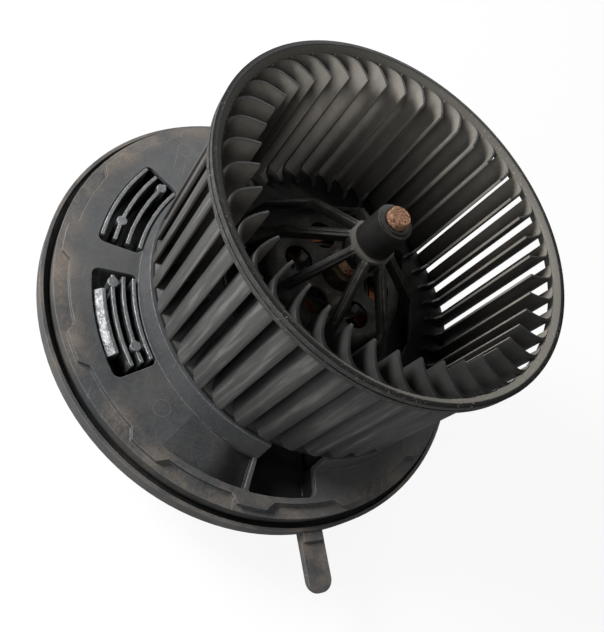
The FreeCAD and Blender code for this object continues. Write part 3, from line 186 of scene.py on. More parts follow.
class BlowerDrumSettings(bpy.types.PropertyGroup):
    """Sizes of the drum, in metres from the fan's axis and the rim's plane"""

    radius: bpy.props.FloatProperty(
        name="Drum radius", description="Outside of the inlet ring",
        default=75 * MM, subtype="DISTANCE", unit="LENGTH")
    blade_count: bpy.props.IntProperty(
        name="Blades", description="Blades round the drum", default=41, min=12, max=80)
    blade_root: bpy.props.FloatProperty(
        name="Blade inner radius", description="Radius of the blades' inner edges",
        default=58.2 * MM, subtype="DISTANCE", unit="LENGTH")
    blade_curve: bpy.props.FloatProperty(
        name="Blade curve", description="Radius of the blade's outer part",
        default=7.33 * MM, subtype="DISTANCE", unit="LENGTH")
    blade_sweep: bpy.props.FloatProperty(
        name="Blade sweep", description="Angle that the outer part turns through",
        default=math.radians(91.2), subtype="ANGLE", unit="ROTATION")
    blade_inlet: bpy.props.FloatProperty(
        name="Blade inlet angle", description="Angle of a blade's inner edge to the radius",
        default=math.radians(7.1), subtype="ANGLE", unit="ROTATION")
    blade_entry_curve: bpy.props.FloatProperty(
        name="Blade entry curve", description="Radius of the blade's inner part",
        default=30.4 * MM, subtype="DISTANCE", unit="LENGTH")
    blade_entry_sweep: bpy.props.FloatProperty(
        name="Blade entry sweep", description="Angle that the inner part turns through",
        default=math.radians(15.5), subtype="ANGLE", unit="ROTATION")
    blade_thickness: bpy.props.FloatProperty(
        name="Blade thickness", description="Thickness of a blade",
        default=1.17 * MM, subtype="DISTANCE", unit="LENGTH")
    blade_phase: bpy.props.FloatProperty(
        name="Blade phase", description="Angle of the first blade's inner edge",
        default=math.radians(4.6), subtype="ANGLE", unit="ROTATION")
    spoke_count: bpy.props.IntProperty(
        name="Spokes", description="Spokes of the cage under the boss", default=8, min=3, max=16)
    spoke_phase: bpy.props.FloatProperty(
        name="Spoke phase", description="Angle of the first spoke",
        default=math.radians(37), subtype="ANGLE", unit="ROTATION")
    top: bpy.props.FloatProperty(
        name="Top", description="Height of the inlet ring's top face",
        default=90.8 * MM, subtype="DISTANCE", unit="LENGTH")
    bottom: bpy.props.FloatProperty(
        name="Bottom", description="Height of the drum's lower end",
        default=18.3 * MM, subtype="DISTANCE", unit="LENGTH")
    plate: bpy.props.FloatProperty(
        name="Base plate", description="Height of the base ring's upper face",
        default=28 * MM, subtype="DISTANCE", unit="LENGTH")
    shoulder: bpy.props.FloatProperty(
        name="Spoke shoulder", description="Radius where a spoke turns down",
        default=31 * MM, subtype="DISTANCE", unit="LENGTH")
    collar: bpy.props.FloatProperty(
        name="Collar height", description="Height of the collar that carries the spokes",
        default=67.3 * MM, subtype="DISTANCE", unit="LENGTH")


class BlowerFinishSettings(bpy.types.PropertyGroup):
    """Colours that the finishes start from"""

    drum: bpy.props.FloatVectorProperty(
        name="Drum plastic", description="Plastic of the drum", subtype="COLOR", size=3,
        default=(0.022, 0.0215, 0.021), min=0, max=1)
    flange: bpy.props.FloatVectorProperty(
        name="Flange plastic", description="Plastic of the flange", subtype="COLOR", size=3,
        default=(0.040, 0.042, 0.044), min=0, max=1)
    dust: bpy.props.FloatVectorProperty(
        name="Dust", description="Brown dust on rims and ledges", subtype="COLOR", size=3,
        default=(0.17, 0.135, 0.105), min=0, max=1)
    rust: bpy.props.FloatVectorProperty(
        name="Rust", description="Rust on the shaft's end", subtype="COLOR", size=3,
        default=(0.33, 0.15, 0.07), min=0, max=1)
    casting: bpy.props.FloatVectorProperty(
        name="Casting", description="Cast aluminium of the heat sink", subtype="COLOR", size=3,
        default=(0.20, 0.205, 0.21), min=0, max=1)


class BlowerStageSettings(bpy.types.PropertyGroup):
    """Camera, lamps and floor"""

    focal_length: bpy.props.FloatProperty(
        name="Focal length", description="Focal length for a 36 mm frame",
        default=40.04, min=10, max=200)
    lamp_power: bpy.props.FloatProperty(
        name="Lamp power", description="Power of the main lamp, in watts",
        default=18.0, min=0, max=100)


# Node groups


def new_group(name, inputs, outputs):
    """Shader node group with named sockets; inputs are (name, type, default)."""
    group = bpy.data.node_groups.new(name, "ShaderNodeTree")
    for socket_name, kind, default in inputs:
        socket = group.interface.new_socket(socket_name, in_out="INPUT", socket_type=kind)
        socket.default_value = default
    for socket_name, kind in outputs:
        group.interface.new_socket(socket_name, in_out="OUTPUT", socket_type=kind)
    entry = group.nodes.new("NodeGroupInput")
    leave = group.nodes.new("NodeGroupOutput")
    return group, entry, leave


def put_out(leave, **values):
    for key, value in values.items():
        leave.id_data.links.new(value, leave.inputs[key])


def math_node(tree, operation, first, second=None, clamp=False):
    """Math node; each side is a number or an output socket."""
    node = tree.nodes.new("ShaderNodeMath")
    node.operation = operation
    node.use_clamp = clamp
    for socket, side in zip(node.inputs, (first, second)):
        if isinstance(side, (int, float)):
            socket.default_value = side
        elif side is not None:
            tree.links.new(side, socket)
    return node.outputs[0]


def times(tree, first, second, clamp=False):
    return math_node(tree, "MULTIPLY", first, second, clamp)


def plus(tree, first, second, clamp=False):
    return math_node(tree, "ADD", first, second, clamp)


def ranged(tree, value, low, high, to_low=0.0, to_high=1.0, smooth=True):
    """Value carried from one range to another, held at its ends."""
    node = tree.nodes.new("ShaderNodeMapRange")
    node.interpolation_type = "SMOOTHSTEP" if smooth else "LINEAR"
    tree.links.new(value, node.inputs["Value"])
    for socket, number in (("From Min", low), ("From Max", high), ("To Min", to_low), ("To Max", to_high)):
        node.inputs[socket].default_value = number
    return node.outputs["Result"]


def mixed(tree, factor, first, second):
    """Colour mix; each side is a colour or an output socket."""
    node = tree.nodes.new("ShaderNodeMix")
    node.data_type = "RGBA"
    tree.links.new(factor, node.inputs["Factor"])
    for socket, side in ((node.inputs[6], first), (node.inputs[7], second)):
        if isinstance(side, tuple):
            socket.default_value = (*side, 1.0)
        else:
            tree.links.new(side, socket)
    return node.outputs[2]


def object_place(tree):
    return tree.nodes.new("ShaderNodeTexCoord").outputs["Object"]


def mapped(tree, shift=ORIGIN, turn=0.0, scale=(1, 1, 1)):
    """Object coordinates, stretched, turned about Z and shifted."""
    mapping = tree.nodes.new("ShaderNodeMapping")
    mapping.inputs["Location"].default_value = shift
    mapping.inputs["Rotation"].default_value = (0, 0, turn)
    mapping.inputs["Scale"].default_value = scale
    tree.links.new(object_place(tree), mapping.inputs["Vector"])
    return mapping.outputs["Vector"]


def split(tree, vector):
    """X, Y and Z of a vector."""
    node = tree.nodes.new("ShaderNodeSeparateXYZ")
    tree.links.new(vector, node.inputs[0])
    return [node.outputs[key] for key in "XYZ"]


def length(tree, across, along):
    return math_node(tree, "SQRT", plus(tree, times(tree, across, across), times(tree, along, along)))


def noise_node(tree, scale, detail=4.0, vector=None, roughness=0.55):
    """Noise in object coordinates; the scale is a number or an output socket."""
    node = tree.nodes.new("ShaderNodeTexNoise")
    node.inputs["Detail"].default_value = detail
    node.inputs["Roughness"].default_value = roughness
    if isinstance(scale, (int, float)):
        node.inputs["Scale"].default_value = scale
    else:
        tree.links.new(scale, node.inputs["Scale"])
    tree.links.new(vector or object_place(tree), node.inputs["Vector"])
    return node.outputs["Fac"]


def make_groups():
    """Effects that several finishes share: masks, heights and places."""
    number, colour = "NodeSocketFloat", "NodeSocketColor"

    group, entry, leave = new_group("Tone drift", [
        ("Dark", colour, (0.05, 0.05, 0.05, 1)),
        ("Light", colour, (0.1, 0.1, 0.1, 1)),
        ("Scale", number, 30.0),
    ], [("Color", colour), ("Mask", number)])
    broad = noise_node(group, entry.outputs["Scale"], detail=3)
    mask = ranged(group, broad, 0.35, 0.68)
    tone = mixed(group, mask, entry.outputs["Dark"], entry.outputs["Light"])
    put_out(leave, Color=tone, Mask=mask)

    group, entry, leave = new_group("Dust film", [
        ("Amount", number, 0.5),
        ("Scale", number, 120.0),
        ("Upward", number, 0.5),
    ], [("Mask", number)])
    cloud = noise_node(group, entry.outputs["Scale"], detail=6, roughness=0.65)
    speck = noise_node(group, 1900.0, detail=2)
    speckled = times(group, ranged(group, cloud, 0.36, 0.72), ranged(group, speck, 0.30, 0.62, 0.45, 1.0))
    normal = group.nodes.new("ShaderNodeNewGeometry").outputs["Normal"]
    up = ranged(group, split(group, normal)[2], -0.1, 0.9)
    bias = plus(group, times(group, up, entry.outputs["Upward"]),
                math_node(group, "SUBTRACT", 1.0, entry.outputs["Upward"]))
    film = times(group, times(group, speckled, bias), entry.outputs["Amount"], clamp=True)
    put_out(leave, Mask=film)

    # Lighter edges: partly rubbed, partly painted highlight
    group, entry, leave = new_group("Edge wear", [
        ("Width", number, 0.0006),
        ("Amount", number, 0.6),
    ], [("Mask", number)])
    bevel = group.nodes.new("ShaderNodeBevel")
    bevel.samples = BEVEL_SAMPLES
    group.links.new(entry.outputs["Width"], bevel.inputs["Radius"])
    normal = group.nodes.new("ShaderNodeNewGeometry").outputs["Normal"]
    dot = group.nodes.new("ShaderNodeVectorMath")
    dot.operation = "DOT_PRODUCT"
    group.links.new(bevel.outputs["Normal"], dot.inputs[0])
    group.links.new(normal, dot.inputs[1])
    edge = ranged(group, dot.outputs["Value"], 0.99, 0.80)
    chips = ranged(group, noise_node(group, 260.0, detail=5, roughness=0.7), 0.38, 0.62, 0.15, 1.0)
    wear_and_highlight = times(group, times(group, edge, chips), entry.outputs["Amount"], clamp=True)
    put_out(leave, Mask=wear_and_highlight)

    group, entry, leave = new_group("Mould grain", [
        ("Scale", number, 2600.0),
        ("Coarse", number, 420.0),
    ], [("Height", number)])
    fine = noise_node(group, entry.outputs["Scale"], detail=3)
    coarse = noise_node(group, entry.outputs["Coarse"], detail=4)
    height = plus(group, times(group, fine, 0.6), times(group, coarse, 0.4))
    put_out(leave, Height=height)

    group, entry, leave = new_group("Upright streaks", [
        ("Amount", number, 0.5),
    ], [("Mask", number)])
    streak = noise_node(group, 1.0, detail=5, vector=mapped(group, scale=(420, 420, 26)), roughness=0.6)
    mask = times(group, ranged(group, streak, 0.45, 0.72), entry.outputs["Amount"])
    put_out(leave, Mask=mask)

    group, entry, leave = new_group("Scratches", [
        ("Amount", number, 0.5),
    ], [("Mask", number)])
    lines = 0.0
    for turn, scale in SCRATCHES:
        thread = noise_node(group, 1.0, detail=2, vector=mapped(group, turn=turn, scale=scale))
        lines = math_node(group, "MAXIMUM", lines, ranged(group, thread, 0.70, 0.76))
    gate = ranged(group, noise_node(group, 38.0, detail=2), 0.45, 0.62)
    mask = times(group, times(group, lines, gate), entry.outputs["Amount"])
    put_out(leave, Mask=mask)

    group, entry, leave = new_group("Drum position", [], [
        ("Inward", number), ("Hollow", number), ("Upward", number), ("Reach", number), ("Height", number)])
    across, along, height = split(group, mapped(group, shift=(-FAN_X, 0, 0)))
    facing_x, facing_y, facing_z = split(group, group.nodes.new("ShaderNodeTexCoord").outputs["Normal"])
    reach = length(group, across, along)
    outward = plus(group, times(group, across, facing_x), times(group, along, facing_y))
    inward = times(group, math_node(group, "DIVIDE", outward, reach), -1.0)
    around = math_node(group, "SUBTRACT", times(group, across, facing_y), times(group, along, facing_x))
    hollow = times(group, plus(group, inward, math_node(group, "DIVIDE", around, reach)), math.sqrt(0.5))
    put_out(leave, Inward=inward, Hollow=hollow, Upward=facing_z, Reach=reach, Height=height)

    group, entry, leave = new_group("Flange position", [], [("Reach", number), ("Height", number)])
    across, along, height = split(group, object_place(group))
    put_out(leave, Reach=length(group, across, along), Height=height)

    group, entry, leave = new_group("Ejector marks", [], [("Mask", number)])
    marks = 0.0
    for distance, angle, radius in EJECTOR_MARKS:
        turned = math.radians(angle)
        shift = (-distance * math.cos(turned), -distance * math.sin(turned), 0)
        across, along, _ = split(group, mapped(group, shift=shift))
        off = math_node(group, "ABSOLUTE", math_node(group, "SUBTRACT", length(group, across, along), radius))
        marks = math_node(group, "MAXIMUM", marks, ranged(group, off, *EJECTOR_MARK_WIDTHS))
    put_out(leave, Mask=marks)

    group, entry, leave = new_group("Turned rings", [
        ("Pitch", number, 0.0004),
    ], [("Height", number)])
    across, along, height = split(group, mapped(group, shift=(-FAN_X, 0, 0)))
    reach = plus(group, length(group, across, along), height)
    turns = times(group, math_node(group, "DIVIDE", reach, entry.outputs["Pitch"]), TURN)
    put_out(leave, Height=times(group, math_node(group, "SINE", turns), 0.5))


# Materials


def lighter(colour, factor):
    return tuple(min(1.0, part * factor) for part in colour)


class Finish:
    """One material under construction, round a single Principled shader."""

    def __init__(self, name, roughness, metallic=0.0, specular=0.5):
        self.material = bpy.data.materials.new(name)
        self.material.use_nodes = True
        self.tree = self.material.node_tree
        self.shader = self.tree.nodes["Principled BSDF"]
        self.shader.inputs["Roughness"].default_value = roughness
        self.shader.inputs["Metallic"].default_value = metallic
        self.shader.inputs["Specular IOR Level"].default_value = specular

    def group(self, name, output, **values):
        node = self.tree.nodes.new("ShaderNodeGroup")
        node.node_tree = bpy.data.node_groups[name]
        for key, value in values.items():
            node.inputs[key].default_value = (*value, 1.0) if isinstance(value, tuple) else value
        return node.outputs[output]

    def tone(self, colour, dark, light, scale):
        """Colour that drifts between a darker and a lighter share of itself."""
        return self.group("Tone drift", "Color", Dark=lighter(colour, dark), Light=lighter(colour, light),
                          Scale=scale)

    def film(self, amount, scale, upward):
        return self.group("Dust film", "Mask", Amount=amount, Scale=scale, Upward=upward)

    def edge(self, amount, width=0.0006):
        return self.group("Edge wear", "Mask", Amount=amount, Width=width)

    def mix(self, factor, first, second):
        return mixed(self.tree, factor, first, second)

    def feed(self, socket, value):
        self.tree.links.new(value, self.shader.inputs[socket])

    def sheen(self, film, low, high):
        """Roughness that drifts between two values and rises under dust."""
        drift = self.group("Tone drift", "Mask", Scale=140.0)
        drifted = ranged(self.tree, drift, 0.0, 1.0, low, high, smooth=False)
        self.feed("Roughness", plus(self.tree, drifted, times(self.tree, film, 0.3), clamp=True))

    def bump(self, height, strength, distance, rounding=0.0):
        """Relief from a height, over edges rounded by a radius."""
        node = self.tree.nodes.new("ShaderNodeBump")
        node.inputs["Strength"].default_value = strength
        node.inputs["Distance"].default_value = distance
        self.tree.links.new(height, node.inputs["Height"])
        if rounding:
            soft = self.tree.nodes.new("ShaderNodeBevel")
            soft.samples = BEVEL_SAMPLES
            soft.inputs["Radius"].default_value = rounding
            self.tree.links.new(soft.outputs["Normal"], node.inputs["Normal"])
        self.feed("Normal", node.outputs["Normal"])

    def grain(self, strength, distance=0.0003, rounding=0.0, **scales):
        self.bump(self.group("Mould grain", "Height", **scales), strength, distance, rounding)


def plastic(name, colour, dust, roughness, dust_amount, wear_and_highlight, grain, upward=0.6, scratches=0.0,
            dust_scale=90.0, specular=0.5):
    """Moulded plastic with drift in tone, a dust film, lighter edges that are partly rubbed and partly
    painted highlight, and moulded grain.
    """
    finish = Finish(name, roughness, specular=specular)
    film = finish.film(dust_amount, dust_scale, upward)
    colour_now = finish.mix(film, finish.tone(colour, 0.82, 1.22, 34.0), dust)
    if scratches:
        scratch = finish.group("Scratches", "Mask", Amount=scratches)
        colour_now = finish.mix(scratch, colour_now, lighter(colour, 4.5))
    if wear_and_highlight:
        colour_now = finish.mix(finish.edge(wear_and_highlight), colour_now, lighter(colour, 4.2))
    finish.feed("Base Color", colour_now)
    finish.sheen(film, roughness - 0.07, roughness + 0.08)
    finish.grain(grain)
    return finish.material


def drum_plastic(name, colour, dust, rubbed_and_highlit):
    """Plastic of the drum: dusty on the blades' hollow sides, rubbed at their outer ends, with painted shade
    lower down and on faces that turn up.
    """
    finish = Finish(name, 0.5, specular=0.3)
    tree = finish.tree
    hollow, upward, reach, height = (
        finish.group("Drum position", key) for key in ("Hollow", "Upward", "Reach", "Height"))
    cloud = finish.film(1.0, 70.0, 0.0)
    # Painted shade: the dust on the hollow sides thins to 0.28 of its amount towards the bottom of the drum
    depth = ranged(tree, height, *BLADE_DUST_SHADE_HEIGHTS, to_low=0.28)
    inside = times(tree, ranged(tree, hollow, 0.05, 0.5), depth)
    film = times(tree, inside, ranged(tree, cloud, 0.0, 0.8, 0.7, 1.0), clamp=True)
    colour_now = finish.mix(film, finish.tone(colour, 0.8, 1.2, 60.0), dust)
    end = times(tree, ranged(tree, reach, *BLADE_WORN_REACHES), ranged(tree, hollow, -0.1, -0.5))
    run = finish.group("Upright streaks", "Mask", Amount=0.8)
    colour_now = finish.mix(times(tree, end, plus(tree, run, 0.35), clamp=True), colour_now, rubbed_and_highlit)
    colour_now = finish.mix(finish.edge(0.35, 0.0004), colour_now, rubbed_and_highlit)
    # Painted shade: faces that turn up are darkened
    colour_now = finish.mix(ranged(tree, upward, 0.6, 0.9), colour_now, lighter(colour, 0.55))
    finish.feed("Base Color", colour_now)
    finish.feed("Roughness", ranged(tree, film, 0.0, 0.6, 0.42, 0.72, smooth=False))
    finish.grain(0.12)
    return finish.material


def ring_plastic(name, colour, lint, rubbed_and_highlit):
    """Inlet ring: black on top from painted shade, with caught lint; outside lighter, partly rubbed and
    partly painted sheen.
    """
    finish = Finish(name, 0.42, specular=0.22)
    tree = finish.tree
    upward, inward = (finish.group("Drum position", key) for key in ("Upward", "Inward"))
    flat = finish.tone(colour, 0.8, 1.25, 60.0)
    run = finish.group("Upright streaks", "Mask", Amount=0.5)
    # Outside faces lighter with upright streaks: partly rubbed, partly painted sheen
    outside = finish.mix(plus(tree, run, 0.25, clamp=True), flat, rubbed_and_highlit)
    colour_now = finish.mix(ranged(tree, inward, -0.2, -0.7), flat, outside)
    colour_now = finish.mix(ranged(tree, inward, 0.3, 0.7), colour_now, lighter(lint, 0.3))
    # Painted shade: the top face is darkened
    colour_now = finish.mix(ranged(tree, upward, 0.75, 0.9), colour_now, lighter(colour, 0.3))
    specks = ranged(tree, noise_node(tree, 1500.0, detail=3, roughness=0.7), 0.60, 0.68)
    gate = ranged(tree, noise_node(tree, 75.0, detail=3), 0.42, 0.60)
    colour_now = finish.mix(times(tree, specks, times(tree, gate, 0.7)), colour_now, lint)
    colour_now = finish.mix(finish.edge(0.8, 0.00035), colour_now, lighter(rubbed_and_highlit, 1.5))
    finish.feed("Base Color", colour_now)
    finish.feed("Roughness", ranged(tree, specks, 0.0, 1.0, 0.42, 0.9))
    finish.grain(0.2)
    return finish.material


def spider_plastic(name, colour, dust):
    """Boss and spokes: near black from painted shade, with a dusty collar and faint films on what faces up.
    """
    finish = Finish(name, 0.45, specular=0.25)
    tree = finish.tree
    reach, height = (finish.group("Drum position", key) for key in ("Reach", "Height"))
    film = finish.film(0.35, 120.0, 0.9)
    colour_now = finish.mix(film, finish.tone(colour, 0.8, 1.3, 90.0), dust)
    collar = times(tree, ranged(tree, reach, *COLLAR_DUST_REACHES), ranged(tree, height, *COLLAR_DUST_TOP))
    collar = times(tree, collar, ranged(tree, height, *COLLAR_DUST_FOOT))
    colour_now = finish.mix(times(tree, collar, 0.75), colour_now, dust)
    colour_now = finish.mix(finish.edge(0.6), colour_now, lighter(dust, 1.6))
    finish.feed("Base Color", colour_now)
    finish.feed("Roughness", ranged(tree, film, 0.0, 0.4, 0.42, 0.7, smooth=False))
    finish.grain(0.2)
    return finish.material


def dusty_can(name, colour, dust):
    """Coated can: near black, with one pale patch of dust near the hub."""
    finish = Finish(name, 0.55, specular=0.3)
    tree = finish.tree
    away = tree.nodes.new("ShaderNodeVectorMath")
    away.operation = "LENGTH"
    tree.links.new(mapped(tree, shift=(-FAN_X - PATCH[0], -PATCH[1], -PATCH[2])), away.inputs[0])
    near = ranged(tree, away.outputs["Value"], PATCH_RADIUS, 0.5 * PATCH_RADIUS)
    cloud = finish.film(1.0, 260.0, 0.9)
    film = times(tree, near, ranged(tree, cloud, 0.1, 0.7, 0.35, 1.0), clamp=True)
    thin = finish.film(0.3, 95.0, 0.9)
    colour_now = finish.tone(colour, 0.7, 1.4, 120.0)
    colour_now = finish.mix(math_node(tree, "MAXIMUM", film, thin), colour_now, dust)
    finish.feed("Base Color", colour_now)
    finish.feed("Roughness", ranged(tree, film, 0.0, 1.0, 0.5, 0.9))
    finish.grain(0.6, 0.0004, Coarse=900.0)
    return finish.material


def flange_plastic(name, colour, dust):
    """Flange: charcoal, with brown dust towards its edge, and painted shade that turns its hollow and its
    groove near black.
    """
    finish = Finish(name, 0.46)
    tree = finish.tree
    reach, height = (finish.group("Flange position", key) for key in ("Reach", "Height"))
    speckle = ranged(tree, noise_node(tree, 950.0, detail=5, roughness=0.75), 0.35, 0.65)
    colour_now = finish.tone(colour, 0.84, 1.18, 30.0)
    colour_now = finish.mix(times(tree, speckle, 0.45), colour_now, lighter(colour, 1.9))
    outer = ranged(tree, reach, *FLANGE_DUST_REACHES, 0.16, 0.85)
    film = times(tree, outer, finish.film(1.0, 52.0, 0.5), clamp=True)
    colour_now = finish.mix(film, colour_now, dust)
    scratch = finish.group("Scratches", "Mask", Amount=0.8)
    colour_now = finish.mix(scratch, colour_now, lighter(colour, 4.0))
    marks = finish.group("Ejector marks", "Mask")
    colour_now = finish.mix(times(tree, marks, 0.5), colour_now, lighter(colour, 2.6))
    colour_now = finish.mix(finish.edge(0.8), colour_now, lighter(colour, 4.2))
    # Painted shade: the hollow by the ramp and the groove by the rim are turned near black
    hollow_shade = times(tree, ranged(tree, height, *HOLLOW_SHADE_HEIGHTS), ranged(tree, reach, *HOLLOW_SHADE_REACHES))
    band = times(tree, ranged(tree, reach, *GROOVE_SHADE_INNER_REACHES), ranged(tree, reach, *GROOVE_SHADE_OUTER_REACHES))
    groove = times(tree, ranged(tree, height, *GROOVE_SHADE_HEIGHTS), band)
    colour_now = finish.mix(math_node(tree, "MAXIMUM", hollow_shade, groove), colour_now, lighter(colour, 0.12))
    finish.feed("Base Color", colour_now)
    finish.sheen(film, 0.38, 0.54)
    finish.grain(0.4, rounding=0.0005)
    return finish.material


def cast_metal(name, colour, painted_highlight):
    """Rough casting: painted shade that darkens it lower down, and painted highlights on the fins' tops and
    upper edges.
    """
    finish = Finish(name, 0.5, metallic=0.85)
    tree = finish.tree
    height = finish.group("Flange position", "Height")
    upward = finish.group("Drum position", "Upward")
    # Painted shade: the casting darkens to 0.4 of its tone lower down
    dark = ranged(tree, height, *CASTING_SHADE_HEIGHTS)
    colour_now = finish.mix(dark, finish.tone(colour, 0.5, 1.3, 420.0), lighter(colour, 0.4))
    blotch = ranged(tree, noise_node(tree, 700.0, detail=5, roughness=0.7), 0.36, 0.58, 0.35, 1.0)
    # Painted highlight: the fins' tops, in blotches, and their upper edges are lighter
    top = times(tree, ranged(tree, upward, 0.95, 0.99), ranged(tree, height, *CASTING_HIGHLIGHT_TOP_HEIGHTS))
    colour_now = finish.mix(times(tree, top, blotch), colour_now, painted_highlight)
    lit_edges = times(tree, finish.edge(1.0, 0.0005), ranged(tree, height, *CASTING_HIGHLIGHT_EDGE_HEIGHTS))
    colour_now = finish.mix(lit_edges, colour_now, lighter(painted_highlight, 2.6))
    finish.feed("Base Color", colour_now)
    finish.feed("Roughness", ranged(tree, blotch, 0.35, 1.0, 0.62, 0.44))
    finish.grain(0.9, 0.0006, rounding=0.0005, Scale=1500.0, Coarse=500.0)
    return finish.material


def metal(name, colour, roughness, stain=None, stain_amount=0.3, rings=0.0, grain=0.2):
    """Metal with drift, stains and either turned rings of a pitch or a cast grain."""
    finish = Finish(name, roughness, metallic=1.0)
    film = finish.film(stain_amount, 210.0, 0.35)
    colour_now = finish.mix(film, finish.tone(colour, 0.8, 1.15, 160.0), stain or lighter(colour, 0.35))
    finish.feed("Base Color", colour_now)
    finish.feed("Metallic", ranged(finish.tree, film, 0.0, 0.7, 1.0, 0.25))
    drift = finish.group("Tone drift", "Mask", Scale=420.0)
    finish.feed("Roughness", ranged(finish.tree, drift, 0.0, 1.0, roughness - 0.08, roughness + 0.14))
    if rings:
        finish.bump(finish.group("Turned rings", "Height", Pitch=rings), strength=grain, distance=0.00006)
    else:
        finish.grain(grain, 0.0004, Scale=1800.0, Coarse=620.0)
    return finish.material


def rusty(name, rust):
    """Granular rust with dark pits, orange scale and pale specks."""
    finish = Finish(name, 0.85)
    tree = finish.tree
    grains = noise_node(tree, 1300.0, detail=4, roughness=0.75)
    colour_now = finish.mix(ranged(tree, grains, 0.40, 0.56), lighter(rust, 0.10), rust)
    pale = ranged(tree, noise_node(tree, 2100.0, detail=3, roughness=0.7), 0.56, 0.66)
    colour_now = finish.mix(times(tree, pale, 0.75), colour_now, RUST_PALE)
    finish.feed("Base Color", colour_now)
    finish.feed("Roughness", ranged(tree, grains, 0.3, 0.7, 0.75, 0.95))
    finish.bump(grains, strength=1.0, distance=0.0012)
    return finish.material


def banded(name, dark, light, pitch, metallic):
    """Finish with fine level lines of a pitch, for stacked sheets and wound wire."""
    finish = Finish(name, 0.4, metallic=metallic)
    wave = finish.tree.nodes.new("ShaderNodeTexWave")
    wave.bands_direction = "Z"
    wave.inputs["Scale"].default_value = WAVE_PERIOD / pitch
    wave.inputs["Distortion"].default_value = 1.2
    wave.inputs["Detail Scale"].default_value = 3.0
    finish.tree.links.new(object_place(finish.tree), wave.inputs["Vector"])
    lines = wave.outputs["Fac"]
    film = finish.film(0.35, 260.0, 0.3)
    colour_now = finish.mix(film, finish.mix(lines, dark, light), lighter(light, 0.45))
    finish.feed("Base Color", colour_now)
    finish.feed("Roughness", ranged(finish.tree, lines, 0.0, 1.0, 0.52, 0.36))
    finish.bump(lines, strength=0.6, distance=0.0002)
    return finish.material


# Plastics of the hidden parts: name, colour, roughness, and how much dust, lighter edges (partly rubbed,
# partly painted highlight) and grain
PLASTICS = {
    "package": ("Package compound", (0.03, 0.03, 0.03), 0.6, 0.1, 0.2, 0.5),
    "rubber": ("Bush rubber", (0.025, 0.025, 0.025), 0.75, 0.2, 0.0, 0.5),
    "pad": ("Silicone pad", (0.36, 0.38, 0.41), 0.7, 0.1, 0.0, 0.4),
    "insulator": ("Black insulator", (0.03, 0.029, 0.027), 0.5, 0.35, 0.0, 0.15),
    "sleeve": ("Capacitor sleeve", (0.05, 0.055, 0.08), 0.35, 0.1, 0.3, 0.1),
    "ferrite": ("Ferrite", (0.06, 0.06, 0.065), 0.65, 0.2, 0.4, 0.6),
}


def make_materials(colours):
    """Every finish by its key, from the panel's colours."""
    drum, flange = tuple(colours.drum), tuple(colours.flange)
    dust, rust, casting = tuple(colours.dust), tuple(colours.rust), tuple(colours.casting)
    made = {key: plastic(name, colour, dust, *shares) for key, (name, colour, *shares) in PLASTICS.items()}
    made.update({
        "drum": drum_plastic("Drum plastic", drum, DRUM_DUST, DRUM_RUBBED_AND_HIGHLIT),
        "ring": ring_plastic("Drum ring plastic", drum, RING_LINT, RING_RUBBED_AND_SHEEN),
        # The base ring and the boss take the drum's plastic at 0.4 of its tone: painted shade deep in the
        # drum
        "base": plastic("Base ring plastic in painted shade", lighter(drum, 0.4), BASE_DUST, roughness=0.5,
                        dust_amount=0.25, upward=0.7, wear_and_highlight=0.4, grain=0.2, specular=0.25),
        "spider": spider_plastic("Boss plastic in painted shade", lighter(drum, 0.4), BOSS_DUST),
        "flange": flange_plastic("Flange plastic", flange, dust),
        "cover": plastic("Cover plastic", lighter(flange, 0.8), dust, roughness=0.52, dust_amount=0.2,
                         upward=0.4, wear_and_highlight=0.5, scratches=0.5, grain=0.5),
        "socket": plastic("Socket plastic", lighter(flange, 0.7), dust, roughness=0.5, dust_amount=0.15,
                          wear_and_highlight=0.4, grain=0.3),
        "board": plastic("Board lacquer", (0.03, 0.14, 0.07), dust, roughness=0.3, dust_amount=0.1,
                         wear_and_highlight=0.0, grain=0.1, dust_scale=300.0),
        "casting": cast_metal("Cast aluminium", casting, CASTING_HIGHLIGHT),
        "aluminium": metal("Turned aluminium", (0.55, 0.55, 0.54), roughness=0.3, rings=0.0005),
        "steel": metal("Ground steel", (0.52, 0.52, 0.52), roughness=0.24, rings=0.0003),
        "screw": metal("Plated steel", (0.50, 0.48, 0.42), roughness=0.32, grain=0.25),
        "spring": metal("Spring steel", (0.22, 0.22, 0.23), roughness=0.4),
        "can": dusty_can("Coated steel can", CAN_BLACK, CAN_DUST),
        "brass": metal("Dull brass", (0.09, 0.07, 0.045), roughness=0.5, stain=(0.02, 0.018, 0.014),
                       stain_amount=0.9, rings=0.0004),
        "pin": metal("Tinned brass", (0.60, 0.57, 0.48), roughness=0.25, grain=0.1),
        "rust": rusty("Rusty steel", rust),
        "core": banded("Stacked sheets", (0.07, 0.06, 0.055), (0.30, 0.29, 0.28), 0.0005, 0.8),
        "copper": banded("Enamelled wire", (0.05, 0.018, 0.007), (0.20, 0.08, 0.03), 0.0006, 1.0),
    })
    return made


MATERIAL_OF_NODE = {
    "impeller": "drum",
    "motor_shaft": "rust",
    "retaining_ring": "spring",
    "rotor_hub": "brass",
    "rotor_can": "can",
    "rotor_magnets": "ferrite",
    "spacer_washer": "steel",
    "upper_bearing": "steel",
    "lower_bearing": "steel",
    "wave_washer": "spring",
    "bearing_tube": "aluminium",
    "stator_core": "core",
    "stator_insulators": "insulator",
    "stator_windings": "copper",
    "flange_plate": "flange",
    "heat_sink": "casting",
    "damper_bushes": "rubber",
    "flange_screws": "screw",
    "circuit_board": "board",
    "board_screws": "screw",
    "power_transistors": "package",
    "thermal_pads": "pad",
    "capacitors": "sleeve",
    "choke_core": "ferrite",
    "choke_winding": "copper",
    "rear_cover": "cover",
    "cover_screws": "screw",
    "connector_socket": "socket",
    "connector_pins": "pin",
}
MATERIALS = {}


